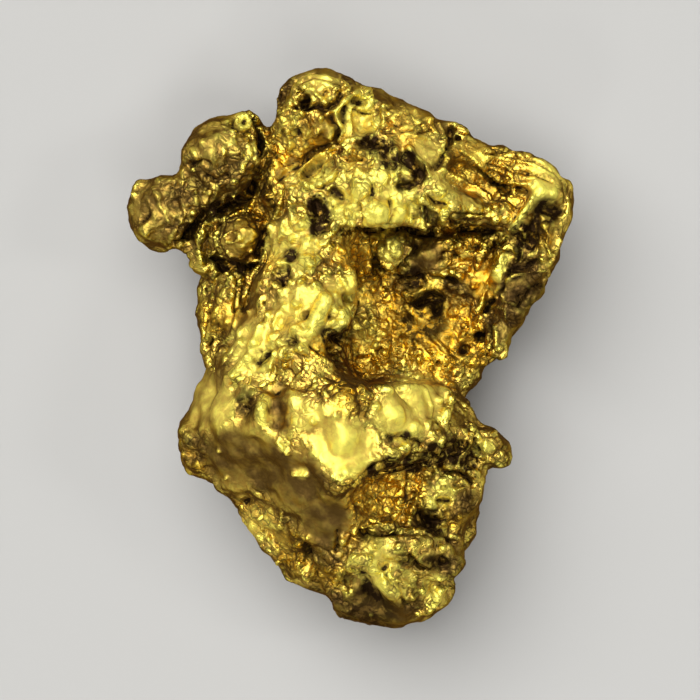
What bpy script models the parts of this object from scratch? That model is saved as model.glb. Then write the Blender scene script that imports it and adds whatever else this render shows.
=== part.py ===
"""A gold nugget, lying on its broad worn side: one solid, grown and tumbled as one piece.

Metres, +Z up. The origin is at the middle of the nugget's box, on the surface that it lies on.
+Y runs along the nugget, towards its crown, and +X across it, towards the arm and the spur.
The body is built up from balls: a lobe is one ball, a ridge is a row of balls joined in pairs, and a
block is the hull of its corner balls. They are fused, hollowed, worn smooth and laid on a flat.
"""

import bmesh
import bpy
from mathutils import Euler, Matrix, Vector
from math import radians

MM = 0.001
NAME = "nugget"

FUSE_VOXEL = 0.11 * MM
SETTLE_VOXEL = 0.12 * MM
WEAR_PASSES = 5
WEAR_FACTOR = 0.5
LUMP_SIZE = 0.8 * MM
LUMP_HEIGHT = 0.5 * MM
TARGET_TRIANGLES = 9400
BALL_ROUNDS = 3
CUTTER_BLOCK = 40 * MM

# Gold with some silver in it, in linear RGB.
GOLD = (0.83, 0.62, 0.17, 1.0)
GOLD_ROUGHNESS = 0.34

# Each ball is (x, y, z, radius) in millimetres. A lobe has three radii and a turn about Z in degrees.
LOBES = {
    "left ball": ((-4.56, 3.45, 2.55), (0.93, 1.04, 1.00), 25),
    "left ball root": ((-3.85, 3.80, 2.75), (0.80, 0.72, 0.85), 0),
    "ear bridge": ((-3.52, 4.08, 3.05), (0.66, 0.52, 0.80), 35),
    "ear": ((-3.18, 4.80, 3.05), (1.12, 1.02, 1.15), 35),
    "ear tip": ((-2.55, 5.46, 2.95), (0.54, 0.50, 0.65), 0),
    "ear cheek": ((-2.80, 4.40, 3.00), (0.62, 0.70, 0.90), 0),
    "ear root": ((-2.70, 3.90, 1.95), (1.20, 1.10, 0.95), 0),
    "bead": ((-2.76, 2.78, 3.15), (0.64, 0.64, 0.74), 0),
    "bead foot": ((-3.35, 2.35, 2.20), (0.52, 0.62, 0.60), 0),
    "lower bead": ((-3.00, 1.25, 2.95), (0.40, 0.76, 0.62), -8),
    "crown knob": ((-0.68, 5.88, 3.05), (1.24, 1.12, 1.25), 0),
    "spur": ((3.38, -2.46, 2.95), (0.62, 0.58, 0.75), 0),
    "left under": ((-2.30, 0.40, 1.45), (1.10, 1.60, 1.10), 10),
    "right under": ((2.70, 2.30, 1.60), (1.30, 1.20, 1.10), 30),
    "crown under": ((0.10, 4.30, 1.75), (1.50, 1.20, 1.20), -15),
    "tip under": ((0.30, -3.70, 1.60), (1.40, 1.30, 1.20), 20),
}

# A ridge is a row of balls, each joined to the next.
RIDGES = {
    "crown edge": [(-0.35, 5.88, 2.90, 0.92), (0.76, 5.42, 3.00, 0.92), (1.72, 5.18, 3.00, 0.80)],
    "brow edge": [(2.10, 5.08, 3.05, 0.74), (2.86, 4.62, 3.20, 0.64), (3.70, 4.36, 3.25, 0.60),
                  (4.52, 4.02, 3.20, 0.80), (4.78, 3.74, 3.25, 0.80)],
    "brow lip": [(2.10, 3.90, 3.90, 0.74), (3.10, 3.72, 3.60, 0.56), (3.85, 3.40, 3.35, 0.50)],
    "strand": [(-3.36, 3.36, 2.60, 0.30), (-3.66, 2.84, 2.62, 0.32), (-3.72, 2.20, 2.40, 0.36)],
    "neck": [(-1.70, 5.10, 2.85, 0.50), (-1.70, 4.30, 3.00, 0.55), (-1.62, 3.60, 3.15, 0.55)],
    "arm": [(4.70, 3.50, 3.20, 0.82), (4.54, 2.50, 3.25, 0.70), (4.20, 1.50, 3.15, 0.58),
            (3.97, 0.80, 3.00, 0.42), (3.70, 0.15, 2.85, 0.36)],
    "left flank": [(-2.70, 2.00, 1.70, 0.98), (-2.85, 0.90, 1.90, 1.00), (-2.60, -0.50, 2.40, 0.98),
                   (-3.10, -1.60, 2.70, 0.85)],
    "keel": [(-0.25, -2.70, 5.25, 0.78), (-0.25, -3.60, 4.60, 0.66), (-0.30, -4.70, 3.85, 0.55)],
    "lower ridge": [(-0.20, -5.05, 3.55, 0.62), (0.60, -4.90, 3.95, 0.60), (1.60, -4.85, 3.70, 0.60),
                    (2.15, -5.20, 3.20, 0.70)],
    "slant ridge": [(0.50, -5.00, 3.95, 0.52), (1.30, -5.95, 3.45, 0.55)],
    "lower left edge": [(-2.02, -3.50, 2.20, 0.76), (-1.95, -4.10, 2.20, 0.78), (-1.18, -5.08, 2.20, 0.74),
                        (-0.30, -5.60, 2.20, 0.74)],
}

# A block is the hull of its corner balls.
BLOCKS = {
    "crown": [(-1.10, 5.40, 2.20, 0.75), (1.40, 5.05, 2.20, 0.90), (-1.50, 3.70, 2.00, 1.10),
              (1.10, 3.70, 2.00, 1.10), (-1.30, 3.80, 2.50, 0.95), (-1.00, 5.00, 2.50, 0.90)],
    "brow": [(0.75, 5.34, 3.25, 0.92), (1.75, 5.10, 3.25, 0.80), (-0.15, 4.20, 3.80, 0.72),
             (2.05, 4.15, 3.98, 0.72), (0.40, 3.95, 3.95, 0.85), (2.20, 3.90, 3.30, 0.75),
             (0.40, 5.00, 2.30, 1.00), (1.90, 4.60, 2.10, 1.00)],
    "brow right": [(2.40, 4.65, 2.40, 0.90), (3.60, 4.32, 2.40, 0.75), (4.52, 3.95, 2.45, 0.85),
                   (4.50, 3.20, 2.20, 0.90), (2.40, 3.50, 2.20, 0.90), (3.90, 3.60, 2.80, 0.80)],
    "floor": [(-1.50, 3.20, 1.50, 1.10), (4.25, 3.00, 1.90, 0.80), (4.15, 1.60, 2.00, 0.70),
              (3.40, 0.20, 1.90, 0.46), (2.35, -0.80, 1.70, 0.60), (-1.50, -0.80, 1.40, 1.20),
              (-2.40, 1.60, 1.60, 1.00)],
    "middle": [(-0.95, 3.70, 3.45, 0.85), (-0.80, 2.20, 3.80, 0.92), (-1.45, 1.70, 3.50, 0.80),
               (-0.95, 0.60, 4.35, 0.95), (-2.30, -0.80, 3.60, 1.05), (-0.80, -1.00, 4.60, 1.00),
               (-2.00, 1.60, 1.80, 1.00), (-2.30, -1.00, 2.00, 1.05), (-0.80, 2.80, 1.80, 1.10)],
    "front": [(-3.30, -2.10, 3.05, 0.90), (-2.00, -1.60, 4.40, 1.00), (-0.20, -2.72, 5.25, 0.78),
              (-0.30, -1.60, 5.15, 1.00), (1.60, -2.20, 4.30, 0.74), (2.60, -2.25, 3.70, 0.58),
              (-2.60, -1.20, 2.00, 1.10), (2.05, -1.60, 2.40, 0.90)],
    "lower left face": [(-3.48, -2.34, 2.80, 0.80), (-0.25, -2.72, 5.20, 0.76), (-0.25, -3.60, 4.50, 0.66),
                        (-0.40, -4.80, 3.40, 0.70), (-2.25, -3.30, 2.30, 0.72)],
    "lower body": [(-2.12, -3.42, 2.30, 0.76), (-1.50, -4.40, 2.20, 0.78), (-0.85, -5.20, 2.30, 0.80),
                   (0.20, -3.10, 3.20, 0.90), (2.45, -3.20, 2.80, 0.95), (2.15, -4.60, 2.80, 0.80),
                   (1.60, -5.60, 2.50, 1.00), (0.20, -4.80, 3.00, 0.85), (0.00, -2.80, 1.90, 1.20),
                   (1.80, -2.60, 1.90, 1.10)],
    "tip": [(0.20, -5.84, 2.40, 0.86), (1.05, -6.05, 2.30, 0.99), (1.62, -5.92, 2.40, 0.94),
            (0.80, -5.20, 3.00, 0.80), (-0.65, -5.15, 2.20, 0.80)],
    "corner": [(-3.50, -2.30, 2.80, 0.88), (-2.75, -2.55, 2.20, 0.90), (-2.10, -1.40, 2.60, 1.00),
               (-3.30, -1.95, 3.00, 0.86)],
    "underside": [(-0.85, 1.35, 1.45, 1.62), (0.95, 1.25, 1.45, 1.62), (1.00, -0.15, 1.45, 1.60),
                  (0.00, -0.95, 1.45, 1.60), (-0.95, -0.30, 1.45, 1.60)],
}

# What is taken out: each is a hull of balls again, open to the top.
HOLLOWS = {
    "cavity": [(0.65, 2.45, 3.10, 0.70), (2.85, 2.40, 3.10, 0.62), (2.75, 0.55, 3.00, 0.60),
               (2.00, -0.15, 3.00, 0.55), (0.50, -0.10, 3.10, 0.60), (0.60, 2.10, 6.00, 0.75),
               (2.75, 2.20, 6.00, 0.60), (3.00, 0.40, 6.00, 0.65), (2.10, -1.00, 6.00, 0.80),
               (0.30, -0.30, 6.50, 0.70)],
    "cavity corner": [(0.20, 0.20, 3.70, 0.50), (-0.45, -0.05, 4.20, 0.42), (0.30, 0.20, 6.50, 0.50)],
    "arched recess": [(0.55, -3.50, 4.60, 0.60), (1.90, -3.35, 4.20, 0.60), (0.70, -4.20, 4.70, 0.45),
                      (1.90, -4.05, 4.50, 0.45), (0.90, -4.00, 6.00, 0.60), (2.00, -3.80, 6.00, 0.60)],
    "brow recess": [(2.75, 4.30, 3.95, 0.45), (3.55, 4.00, 3.85, 0.36), (2.90, 4.35, 5.00, 0.50),
                    (3.60, 4.05, 5.00, 0.40)],
}

# A groove is a row of balls, each joined to the next and open to the top.
GROOVES = {
    "ear crack": [(-2.04, 6.10, 2.60, 0.15), (-2.10, 5.45, 3.20, 0.16), (-2.16, 4.70, 3.25, 0.16),
                  (-2.28, 4.10, 3.00, 0.18), (-2.90, 3.66, 2.90, 0.28)],
    "left gap": [(-4.05, 2.62, 2.40, 0.14), (-3.95, 2.98, 2.70, 0.16), (-3.62, 3.42, 2.90, 0.18)],
    "knob valley": [(-0.45, 5.15, 4.10, 0.36), (-1.10, 4.75, 3.95, 0.44), (-1.60, 4.20, 3.90, 0.34),
                    (-1.78, 3.60, 3.75, 0.26)],
    "flank valley": [(-2.12, 3.30, 3.20, 0.22), (-2.20, 2.60, 3.20, 0.24), (-2.45, 2.00, 3.15, 0.24),
                     (-2.60, 1.10, 3.30, 0.20)],
    "bead hollow": [(-2.60, 2.08, 2.85, 0.16), (-3.20, 2.10, 2.60, 0.16)],
}
GROOVE_OPENING = 3.0

# What stands in the hollows, added after they are cut: hulls of balls.
INSETS = {
    "ledge": [(1.25, 2.75, 2.80, 0.40), (3.20, 2.60, 2.80, 0.40), (3.05, 1.75, 2.45, 0.42),
              (1.10, 2.25, 2.40, 0.42), (2.10, 2.00, 2.50, 0.42)],
    "lump": [(1.10, 2.50, 3.25, 0.30), (1.25, 2.70, 3.30, 0.28), (1.05, 2.35, 2.80, 0.36)],
    "floor rise": [(2.30, 0.90, 1.80, 0.85), (1.50, 0.90, 1.70, 0.85)],
}


def clear_scene():
    """Starts from an empty scene."""
    for obj in list(bpy.data.objects):
        bpy.data.objects.remove(obj)


def new_collection(name):
    collection = bpy.data.collections.new(name)
    bpy.context.scene.collection.children.link(collection)
    return collection


def add_ball(bm, centre, radii, turn=0.0):
    """Adds one ball to a mesh, stretched to its three radii, and returns its points."""
    place = Matrix.LocRotScale(Vector(centre) * MM, Euler((0, 0, radians(turn))), Vector(radii) * MM)
    made = bmesh.ops.create_icosphere(bm, subdivisions=BALL_ROUNDS, radius=1.0, matrix=place)
    return made["verts"]


def add_hull(bm, balls):
    """Adds the hull of some balls as one closed piece."""
    piece = bmesh.new()
    for x, y, z, radius in balls:
        add_ball(piece, (x, y, z), (radius,) * 3)
    hull = bmesh.ops.convex_hull(piece, input=piece.verts)
    inner = [v for v in hull["geom_interior"] if isinstance(v, bmesh.types.BMVert)]
    bmesh.ops.delete(piece, geom=inner, context="VERTS")
    shell = bpy.data.meshes.new("hull")
    bmesh.ops.recalc_face_normals(piece, faces=piece.faces)
    piece.to_mesh(shell)
    piece.free()
    bm.from_mesh(shell)
    bpy.data.meshes.remove(shell)


def add_row(bm, balls):
    """Adds a row of balls, each joined to the next."""
    for pair in zip(balls, balls[1:]):
        add_hull(bm, pair)


def add_open_row(bm, balls):
    """Adds a row of balls with their copies higher up, to cut a groove that is open to the top."""
    for pair in zip(balls, balls[1:]):
        above = [(x, y, z + GROOVE_OPENING, radius) for x, y, z, radius in pair]
        add_hull(bm, list(pair) + above)


def object_from(bm, name, collection):
    mesh = bpy.data.meshes.new(name)
    bm.to_mesh(mesh)
    bm.free()
    obj = bpy.data.objects.new(name, mesh)
    collection.objects.link(obj)
    return obj


def fuse(obj, voxel, label):
    """Makes one closed surface of everything that overlaps."""
    modifier = obj.modifiers.new(label, "REMESH")
    modifier.mode = "VOXEL"
    modifier.voxel_size = voxel


def combine(obj, tool, label, operation):
    """Cuts the tool from the object, or adds it."""
    modifier = obj.modifiers.new(label, "BOOLEAN")
    modifier.operation = operation
    modifier.object = tool
    modifier.solver = "EXACT"


def add_lumps(obj, label, size, height):
    """Pushes the surface in and out by a fraction of a millimetre, in lumps of one size."""
    texture = bpy.data.textures.new(label, "CLOUDS")
    texture.noise_scale = size
    modifier = obj.modifiers.new(label, "DISPLACE")
    modifier.texture = texture
    modifier.texture_coords = "LOCAL"
    modifier.strength = height
    modifier.mid_level = 0.5


def wear(obj):
    """Rounds the edges as tumbling does."""
    modifier = obj.modifiers.new("wear", "SMOOTH")
    modifier.factor = WEAR_FACTOR
    modifier.iterations = WEAR_PASSES


def body_object(collection):
    bm = bmesh.new()
    for centre, radii, turn in LOBES.values():
        add_ball(bm, centre, radii, turn)
    for balls in RIDGES.values():
        add_row(bm, balls)
    for balls in BLOCKS.values():
        add_hull(bm, balls)
    return object_from(bm, NAME, collection)


def tool_object(bm, name, collection):
    tool = object_from(bm, name, collection)
    tool.hide_render = True
    tool.display_type = "WIRE"
    return tool


def hollow_cutter(collection):
    bm = bmesh.new()
    for balls in HOLLOWS.values():
        add_hull(bm, balls)
    for balls in GROOVES.values():
        add_open_row(bm, balls)
    cutter = tool_object(bm, "hollow cutter", collection)
    fuse(cutter, FUSE_VOXEL, "fuse")
    return cutter


def inset_tool(collection):
    bm = bmesh.new()
    for balls in INSETS.values():
        add_hull(bm, balls)
    tool = tool_object(bm, "inset tool", collection)
    fuse(tool, FUSE_VOXEL, "fuse")
    return tool


def floor_cutter(collection):
    """A block whose top is the surface that the nugget lies on."""
    bm = bmesh.new()
    bmesh.ops.create_cube(bm, size=CUTTER_BLOCK, matrix=Matrix.Translation((0, 0, -CUTTER_BLOCK / 2)))
    return tool_object(bm, "floor cutter", collection)


def gold_material():
    material = bpy.data.materials.new("native gold")
    material.use_nodes = True
    shader = material.node_tree.nodes["Principled BSDF"]
    shader.inputs["Base Color"].default_value = GOLD
    shader.inputs["Metallic"].default_value = 1.0
    shader.inputs["Roughness"].default_value = GOLD_ROUGHNESS
    return material


def triangle_count(obj):
    mesh = obj.evaluated_get(bpy.context.evaluated_depsgraph_get()).to_mesh()
    mesh.calc_loop_triangles()
    return len(mesh.loop_triangles)


def thin_out(obj):
    """Keeps the triangles that the shape needs."""
    modifier = obj.modifiers.new("thin out", "DECIMATE")
    modifier.ratio = 1.0
    modifier.ratio = TARGET_TRIANGLES / triangle_count(obj)


def main():
    clear_scene()
    parts = new_collection("gold nugget")
    cutters = new_collection("cutters")
    nugget = body_object(parts)
    nugget.data.materials.append(gold_material())
    fuse(nugget, FUSE_VOXEL, "fuse")
    combine(nugget, hollow_cutter(cutters), "hollow", "DIFFERENCE")
    combine(nugget, inset_tool(cutters), "inset", "UNION")
    fuse(nugget, SETTLE_VOXEL, "settle")
    wear(nugget)
    add_lumps(nugget, "lumps", LUMP_SIZE, LUMP_HEIGHT)
    thin_out(nugget)
    combine(nugget, floor_cutter(cutters), "rest flat", "DIFFERENCE")


main()
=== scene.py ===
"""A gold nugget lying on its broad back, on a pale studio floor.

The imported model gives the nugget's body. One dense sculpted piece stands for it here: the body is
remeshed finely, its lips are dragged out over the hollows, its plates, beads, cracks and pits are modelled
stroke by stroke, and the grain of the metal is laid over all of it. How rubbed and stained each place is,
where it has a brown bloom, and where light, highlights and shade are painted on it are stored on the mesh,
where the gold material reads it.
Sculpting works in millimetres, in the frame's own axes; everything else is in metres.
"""

from math import cos, pi, sin

import bmesh
import bpy
import numpy as np
from bpy.props import FloatProperty, FloatVectorProperty, IntProperty, PointerProperty
from bpy.types import Operator, Panel, PropertyGroup
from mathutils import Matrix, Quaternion, Vector, noise
from mathutils.bvhtree import BVHTree


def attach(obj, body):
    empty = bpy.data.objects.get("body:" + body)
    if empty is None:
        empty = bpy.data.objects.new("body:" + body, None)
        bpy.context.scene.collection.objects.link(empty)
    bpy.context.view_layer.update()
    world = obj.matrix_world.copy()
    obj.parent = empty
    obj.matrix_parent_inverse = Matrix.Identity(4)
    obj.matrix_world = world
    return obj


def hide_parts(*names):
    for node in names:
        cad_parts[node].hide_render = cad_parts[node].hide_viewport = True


bl_info = {
    "name": "Gold Nugget Studio",
    "version": (1, 0, 0),
    "blender": (4, 5, 0),
    "location": "3D View > Sidebar > Nugget",
    "description": "Sculpts a native gold nugget over its packed body and lights it on a pale floor",
    "category": "Object",
}

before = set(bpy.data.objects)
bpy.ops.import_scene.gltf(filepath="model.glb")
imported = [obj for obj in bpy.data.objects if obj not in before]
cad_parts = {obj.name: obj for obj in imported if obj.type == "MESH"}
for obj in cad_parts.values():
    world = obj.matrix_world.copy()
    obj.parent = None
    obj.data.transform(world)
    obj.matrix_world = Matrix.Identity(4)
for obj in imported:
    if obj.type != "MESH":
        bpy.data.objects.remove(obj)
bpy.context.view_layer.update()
BODY_NODE = "nugget"
MM = 0.001
SEED = 7


# ---------------------------------------------------------------- sizes and colours

class NuggetShape(PropertyGroup):
    """Sizes of the sculpted surface."""

    voxel: FloatProperty(
        name="Voxel", description="Edge length of the remeshed body",
        default=0.045 * MM, min=0.03 * MM, max=0.3 * MM, subtype="DISTANCE", unit="LENGTH")
    wear_passes: IntProperty(
        name="Wear passes", description="Smoothing passes over the remeshed body",
        default=14, min=0, max=60, subtype="UNSIGNED")
    edge_gain: FloatProperty(
        name="Edge gain", description="How much the body's edges and hollows are sharpened",
        default=0.5, min=0.0, max=2.0, subtype="FACTOR")
    mark_gain: FloatProperty(
        name="Mark gain", description="How strongly the marks stand out",
        default=1.35, min=0.0, max=3.0, subtype="FACTOR")
    lump_height: FloatProperty(
        name="Lump height", description="Height of the broad lumps",
        default=0.07 * MM, min=0.0, subtype="DISTANCE", unit="LENGTH")
    pebble_height: FloatProperty(
        name="Pebble height", description="Height of the rounded grains",
        default=0.055 * MM, min=0.0, subtype="DISTANCE", unit="LENGTH")
    grit_height: FloatProperty(
        name="Grit height", description="Height of the finer grains, which lie thickest in the hollows",
        default=0.03 * MM, min=0.0, subtype="DISTANCE", unit="LENGTH")
    terrace_height: FloatProperty(
        name="Terrace height", description="Height of one growth terrace",
        default=0.035 * MM, min=0.0, subtype="DISTANCE", unit="LENGTH")
    crease_depth: FloatProperty(
        name="Crease depth", description="Depth of the wandering creases",
        default=0.06 * MM, min=0.0, subtype="DISTANCE", unit="LENGTH")
    triangle_goal: IntProperty(
        name="Triangles", description="Triangles kept in the finished piece",
        default=196000, min=1000, max=199000, subtype="UNSIGNED")


class NuggetColours(PropertyGroup):
    """Colours of the gold, in linear RGB."""

    # Lemon gold also carries the painted highlights on crests and lit places.
    lemon: FloatVectorProperty(
        name="Lemon gold", description="Gold rubbed on the crests, and painted highlight",
        default=(1.0, 0.88, 0.14, 1.0), min=0.0, max=1.0, size=4, subtype="COLOR")
    gold: FloatVectorProperty(
        name="Gold", description="Gold between the crests",
        default=(0.76, 0.48, 0.09, 1.0), min=0.0, max=1.0, size=4, subtype="COLOR")
    orange: FloatVectorProperty(
        name="Orange gold", description="Gold in the hollows, stained by iron",
        default=(0.95, 0.47, 0.015, 1.0), min=0.0, max=1.0, size=4, subtype="COLOR")
    # This brown also stands for painted shade on flanks and places that face away from the light.
    dull_and_shade: FloatVectorProperty(
        name="Dull gold and shade", description="Brown bloom and painted shade on the flanks and the low lobes",
        default=(0.17, 0.098, 0.024, 1.0), min=0.0, max=1.0, size=4, subtype="COLOR")
    # This near-black brown is painted shade in creases and hollows, and painted shadow.
    shade_brown: FloatVectorProperty(
        name="Shade brown", description="Painted shade in pits, grooves and hollows",
        default=(0.030, 0.016, 0.006, 1.0), min=0.0, max=1.0, size=4, subtype="COLOR")
    sheen: FloatVectorProperty(
        name="Sheen", description="Tint of the grazing light on clean gold",
        default=(0.85, 0.60, 0.30, 1.0), min=0.0, max=1.0, size=4, subtype="COLOR")
    dull_sheen: FloatVectorProperty(
        name="Dull sheen", description="Tint of the grazing light on bloom and painted shade",
        default=(0.36, 0.26, 0.14, 1.0), min=0.0, max=1.0, size=4, subtype="COLOR")


class NuggetStudio(PropertyGroup):
    """The floor, the soft light from all round and the camera."""

    floor: FloatVectorProperty(
        name="Floor", description="Colour of the floor",
        default=(0.44, 0.435, 0.42, 1.0), min=0.0, max=1.0, size=4, subtype="COLOR")
    ambient: FloatVectorProperty(
        name="Ambient", description="Colour of the light from all round",
        default=(0.04, 0.04, 0.04, 1.0), min=0.0, max=1.0, size=4, subtype="COLOR")
    lens: FloatProperty(
        name="Lens", description="Focal length, in millimetres", default=400.0, min=50.0, unit="CAMERA")
    frame_width: FloatProperty(
        name="Frame width", description="Width of the view at the height of the nugget's rim",
        default=17.5 * MM, min=5.0 * MM, subtype="DISTANCE", unit="LENGTH")
    rim_height: FloatProperty(
        name="Rim height", description="Height of the nugget's rim above the floor",
        default=2.7 * MM, min=0.0, subtype="DISTANCE", unit="LENGTH")


# ---------------------------------------------------------------- reading and writing the surface

def read_vectors(mesh, kind):
    """Positions or normals of a mesh's points, as rows of three."""
    values = np.empty(len(mesh.vertices) * 3, np.float32)
    mesh.vertices.foreach_get(kind, values)
    return values.reshape(-1, 3).astype(float)


class Surface:
    """The nugget's points in millimetres, with what the sculpting needs to know about them."""

    def __init__(self, mesh):
        self.mesh = mesh
        self.points = read_vectors(mesh, "co") / MM
        self.normals = read_vectors(mesh, "normal")
        edges = np.empty(len(mesh.edges) * 2, np.int32)
        mesh.edges.foreach_get("vertices", edges)
        self.first, self.second = edges.reshape(-1, 2).T
        self.count = len(self.points)
        self.degree = np.bincount(edges, minlength=self.count).astype(float)
        self.carved = np.zeros(self.count)

    def refresh(self):
        """Writes the points back to the mesh and reads the new normals."""
        self.mesh.vertices.foreach_set("co", (self.points * MM).astype(np.float32).ravel())
        self.mesh.update()
        self.normals = read_vectors(self.mesh, "normal")

    def around(self, values):
        """The mean of the neighbours' values."""
        total = np.bincount(self.first, values[self.second], self.count)
        total += np.bincount(self.second, values[self.first], self.count)
        return total / self.degree

    def spread(self, values, passes):
        """Values shared out among the neighbours, a number of times."""
        for _ in range(passes):
            if values.ndim == 1:
                values = 0.5 * values + 0.5 * self.around(values)
            else:
                values = 0.5 * values + 0.5 * np.stack([self.around(column) for column in values.T], 1)
        return values

    def sink(self, passes):
        """How far each point lies below its smoothed surroundings."""
        return ((self.spread(self.points, passes) - self.points) * self.normals).sum(1)

    def push(self, height):
        """Moves every point out along its normal, or in where height is below zero."""
        self.points += self.normals * height[:, None]
        self.refresh()

    def settle(self):
        """Lifts whatever is under the floor up to it."""
        self.points[:, 2] = np.maximum(self.points[:, 2], 0.0)
        self.refresh()

    def tree(self):
        """A ray tree of the surface, in millimetres."""
        self.mesh.calc_loop_triangles()
        corners = np.empty(len(self.mesh.loop_triangles) * 3, np.int32)
        self.mesh.loop_triangles.foreach_get("vertices", corners)
        return BVHTree.FromPolygons(self.points.tolist(), corners.reshape(-1, 3).tolist())


def smoothstep(low, high, values):
    """0 up to low, 1 from high on and a soft step between them. Low may be the larger of the two."""
    share = np.clip((values - low) / (high - low), 0.0, 1.0)
    return share * share * (3.0 - 2.0 * share)


def noise_field(points, size, seed):
    """Smooth noise between about -1 and 1, in lumps of one size."""
    shift = Vector((seed * 17.13, seed * 5.71, seed * 11.37))
    return np.array([noise.noise(Vector(p) + shift) for p in (points / size).tolist()])


def grains(points, size, seed, tilt=0.8, dome=0.55):
    """Rounded grains of one size with creases between them, each leaning its own way, from 0 to about 1."""
    shift = np.array((seed * 7.31, seed * 13.7, seed * 3.19))
    places = points / size + shift
    found = [noise.voronoi(Vector(p)) for p in places.tolist()]
    near, far = np.array([distances[:2] for distances, centres in found]).T
    centre = np.array([centres[0] for distances, centres in found])
    lean = np.sin(centre[:, (1, 2, 0)] * 37.7 + centre * 91.3)
    return smoothstep(0.0, dome, far - near) + tilt * (lean * (places - centre)).sum(1)


# ---------------------------------------------------------------- marks on the nugget's face

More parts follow.
